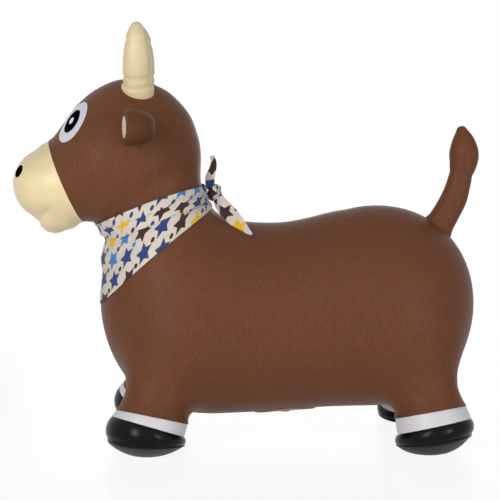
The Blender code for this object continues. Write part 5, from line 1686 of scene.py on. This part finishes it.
def add_floor():
    """A white floor that keeps a faint shadow near the object."""
    finish, tree, shader = new_finish("floor")
    shader.inputs["Base Color"].default_value = FLOOR_WHITE
    shader.inputs["Roughness"].default_value = 0.22
    shader.inputs["Specular IOR Level"].default_value = 0.25
    glow = make(tree, "ShaderNodeEmission", {"Color": (1, 1, 1, 1), "Strength": 1.0}).outputs[0]
    place = make(tree, "ShaderNodeTexCoord").outputs["Object"]
    away = make(tree, "ShaderNodeVectorMath", {0: place}, operation="LENGTH").outputs["Value"]
    share = calc(tree, "MULTIPLY", seen(tree), spread(tree, away, FLOOR_FADE, FLOOR_GLOW))
    both = make(tree, "ShaderNodeMixShader", {0: share, 1: shader.outputs[0], 2: glow}).outputs[0]
    tree.links.new(both, tree.nodes["Material Output"].inputs[0])
    data = bpy.data.meshes.new("floor")
    corners = [(x * FLOOR_REACH, y * FLOOR_REACH, 0) for x, y in ((-1, -1), (1, -1), (1, 1), (-1, 1))]
    data.from_pydata(corners, [], [(0, 1, 2, 3)])
    data.materials.append(finish)
    floor = bpy.data.objects.new("floor", data)
    bpy.context.collection.objects.link(floor)


def add_stage():
    """The floor, a white surround, soft lamps and the camera."""
    add_floor()
    world = bpy.data.worlds.new("surround")
    bpy.context.scene.world = world
    world.use_nodes = True
    tree = world.node_tree
    background = tree.nodes["Background"]
    background.inputs[0].default_value = (1, 1, 1, 1)
    tree.links.new(spread(tree, seen(tree), (0.0, 1.0), WORLD_LIGHT), background.inputs[1])

    for name, place, power, wide, tall in LAMPS:
        lamp = bpy.data.lights.new(name, "AREA")
        lamp.shape = "RECTANGLE"
        lamp.size, lamp.size_y = wide, tall
        lamp.energy = power
        holder = bpy.data.objects.new(name, lamp)
        holder.location = place
        holder.rotation_euler = (LAMP_TARGET - Vector(place)).to_track_quat("-Z", "Y").to_euler()
        bpy.context.collection.objects.link(holder)

    lens = bpy.data.cameras.new("camera")
    lens.sensor_width = CAMERA_SENSOR_MM
    lens.lens = CAMERA_LENS_MM
    camera = bpy.data.objects.new("camera", lens)
    level, height = math.cos(CAMERA_ELEVATION), math.sin(CAMERA_ELEVATION)
    back = Vector((math.sin(CAMERA_AZIMUTH) * level, -math.cos(CAMERA_AZIMUTH) * level, height))
    camera.location = CAMERA_TARGET + back * CAMERA_DISTANCE
    camera.rotation_euler = (-back).to_track_quat("-Z", "Y").to_euler()
    bpy.context.collection.objects.link(camera)
    bpy.context.scene.camera = camera
    bpy.context.scene.view_settings.view_transform = "Standard"


def main():
    add_stage()
    body = Body()
    add_skin(body)
    for leg, end in zip(LEGS, ("front", "rear")):
        for side, name in SIDES:
            add_foot(leg, side, f"{end}_{name}")
    for side, name in SIDES:
        add_horn(body, side, name)
        add_ear(body, side, name)
        add_face(body, side, name)
    add_tail(body)
    add_valve(body)
    wrap = add_wrap(body)
    ends = add_knot(body)


main()
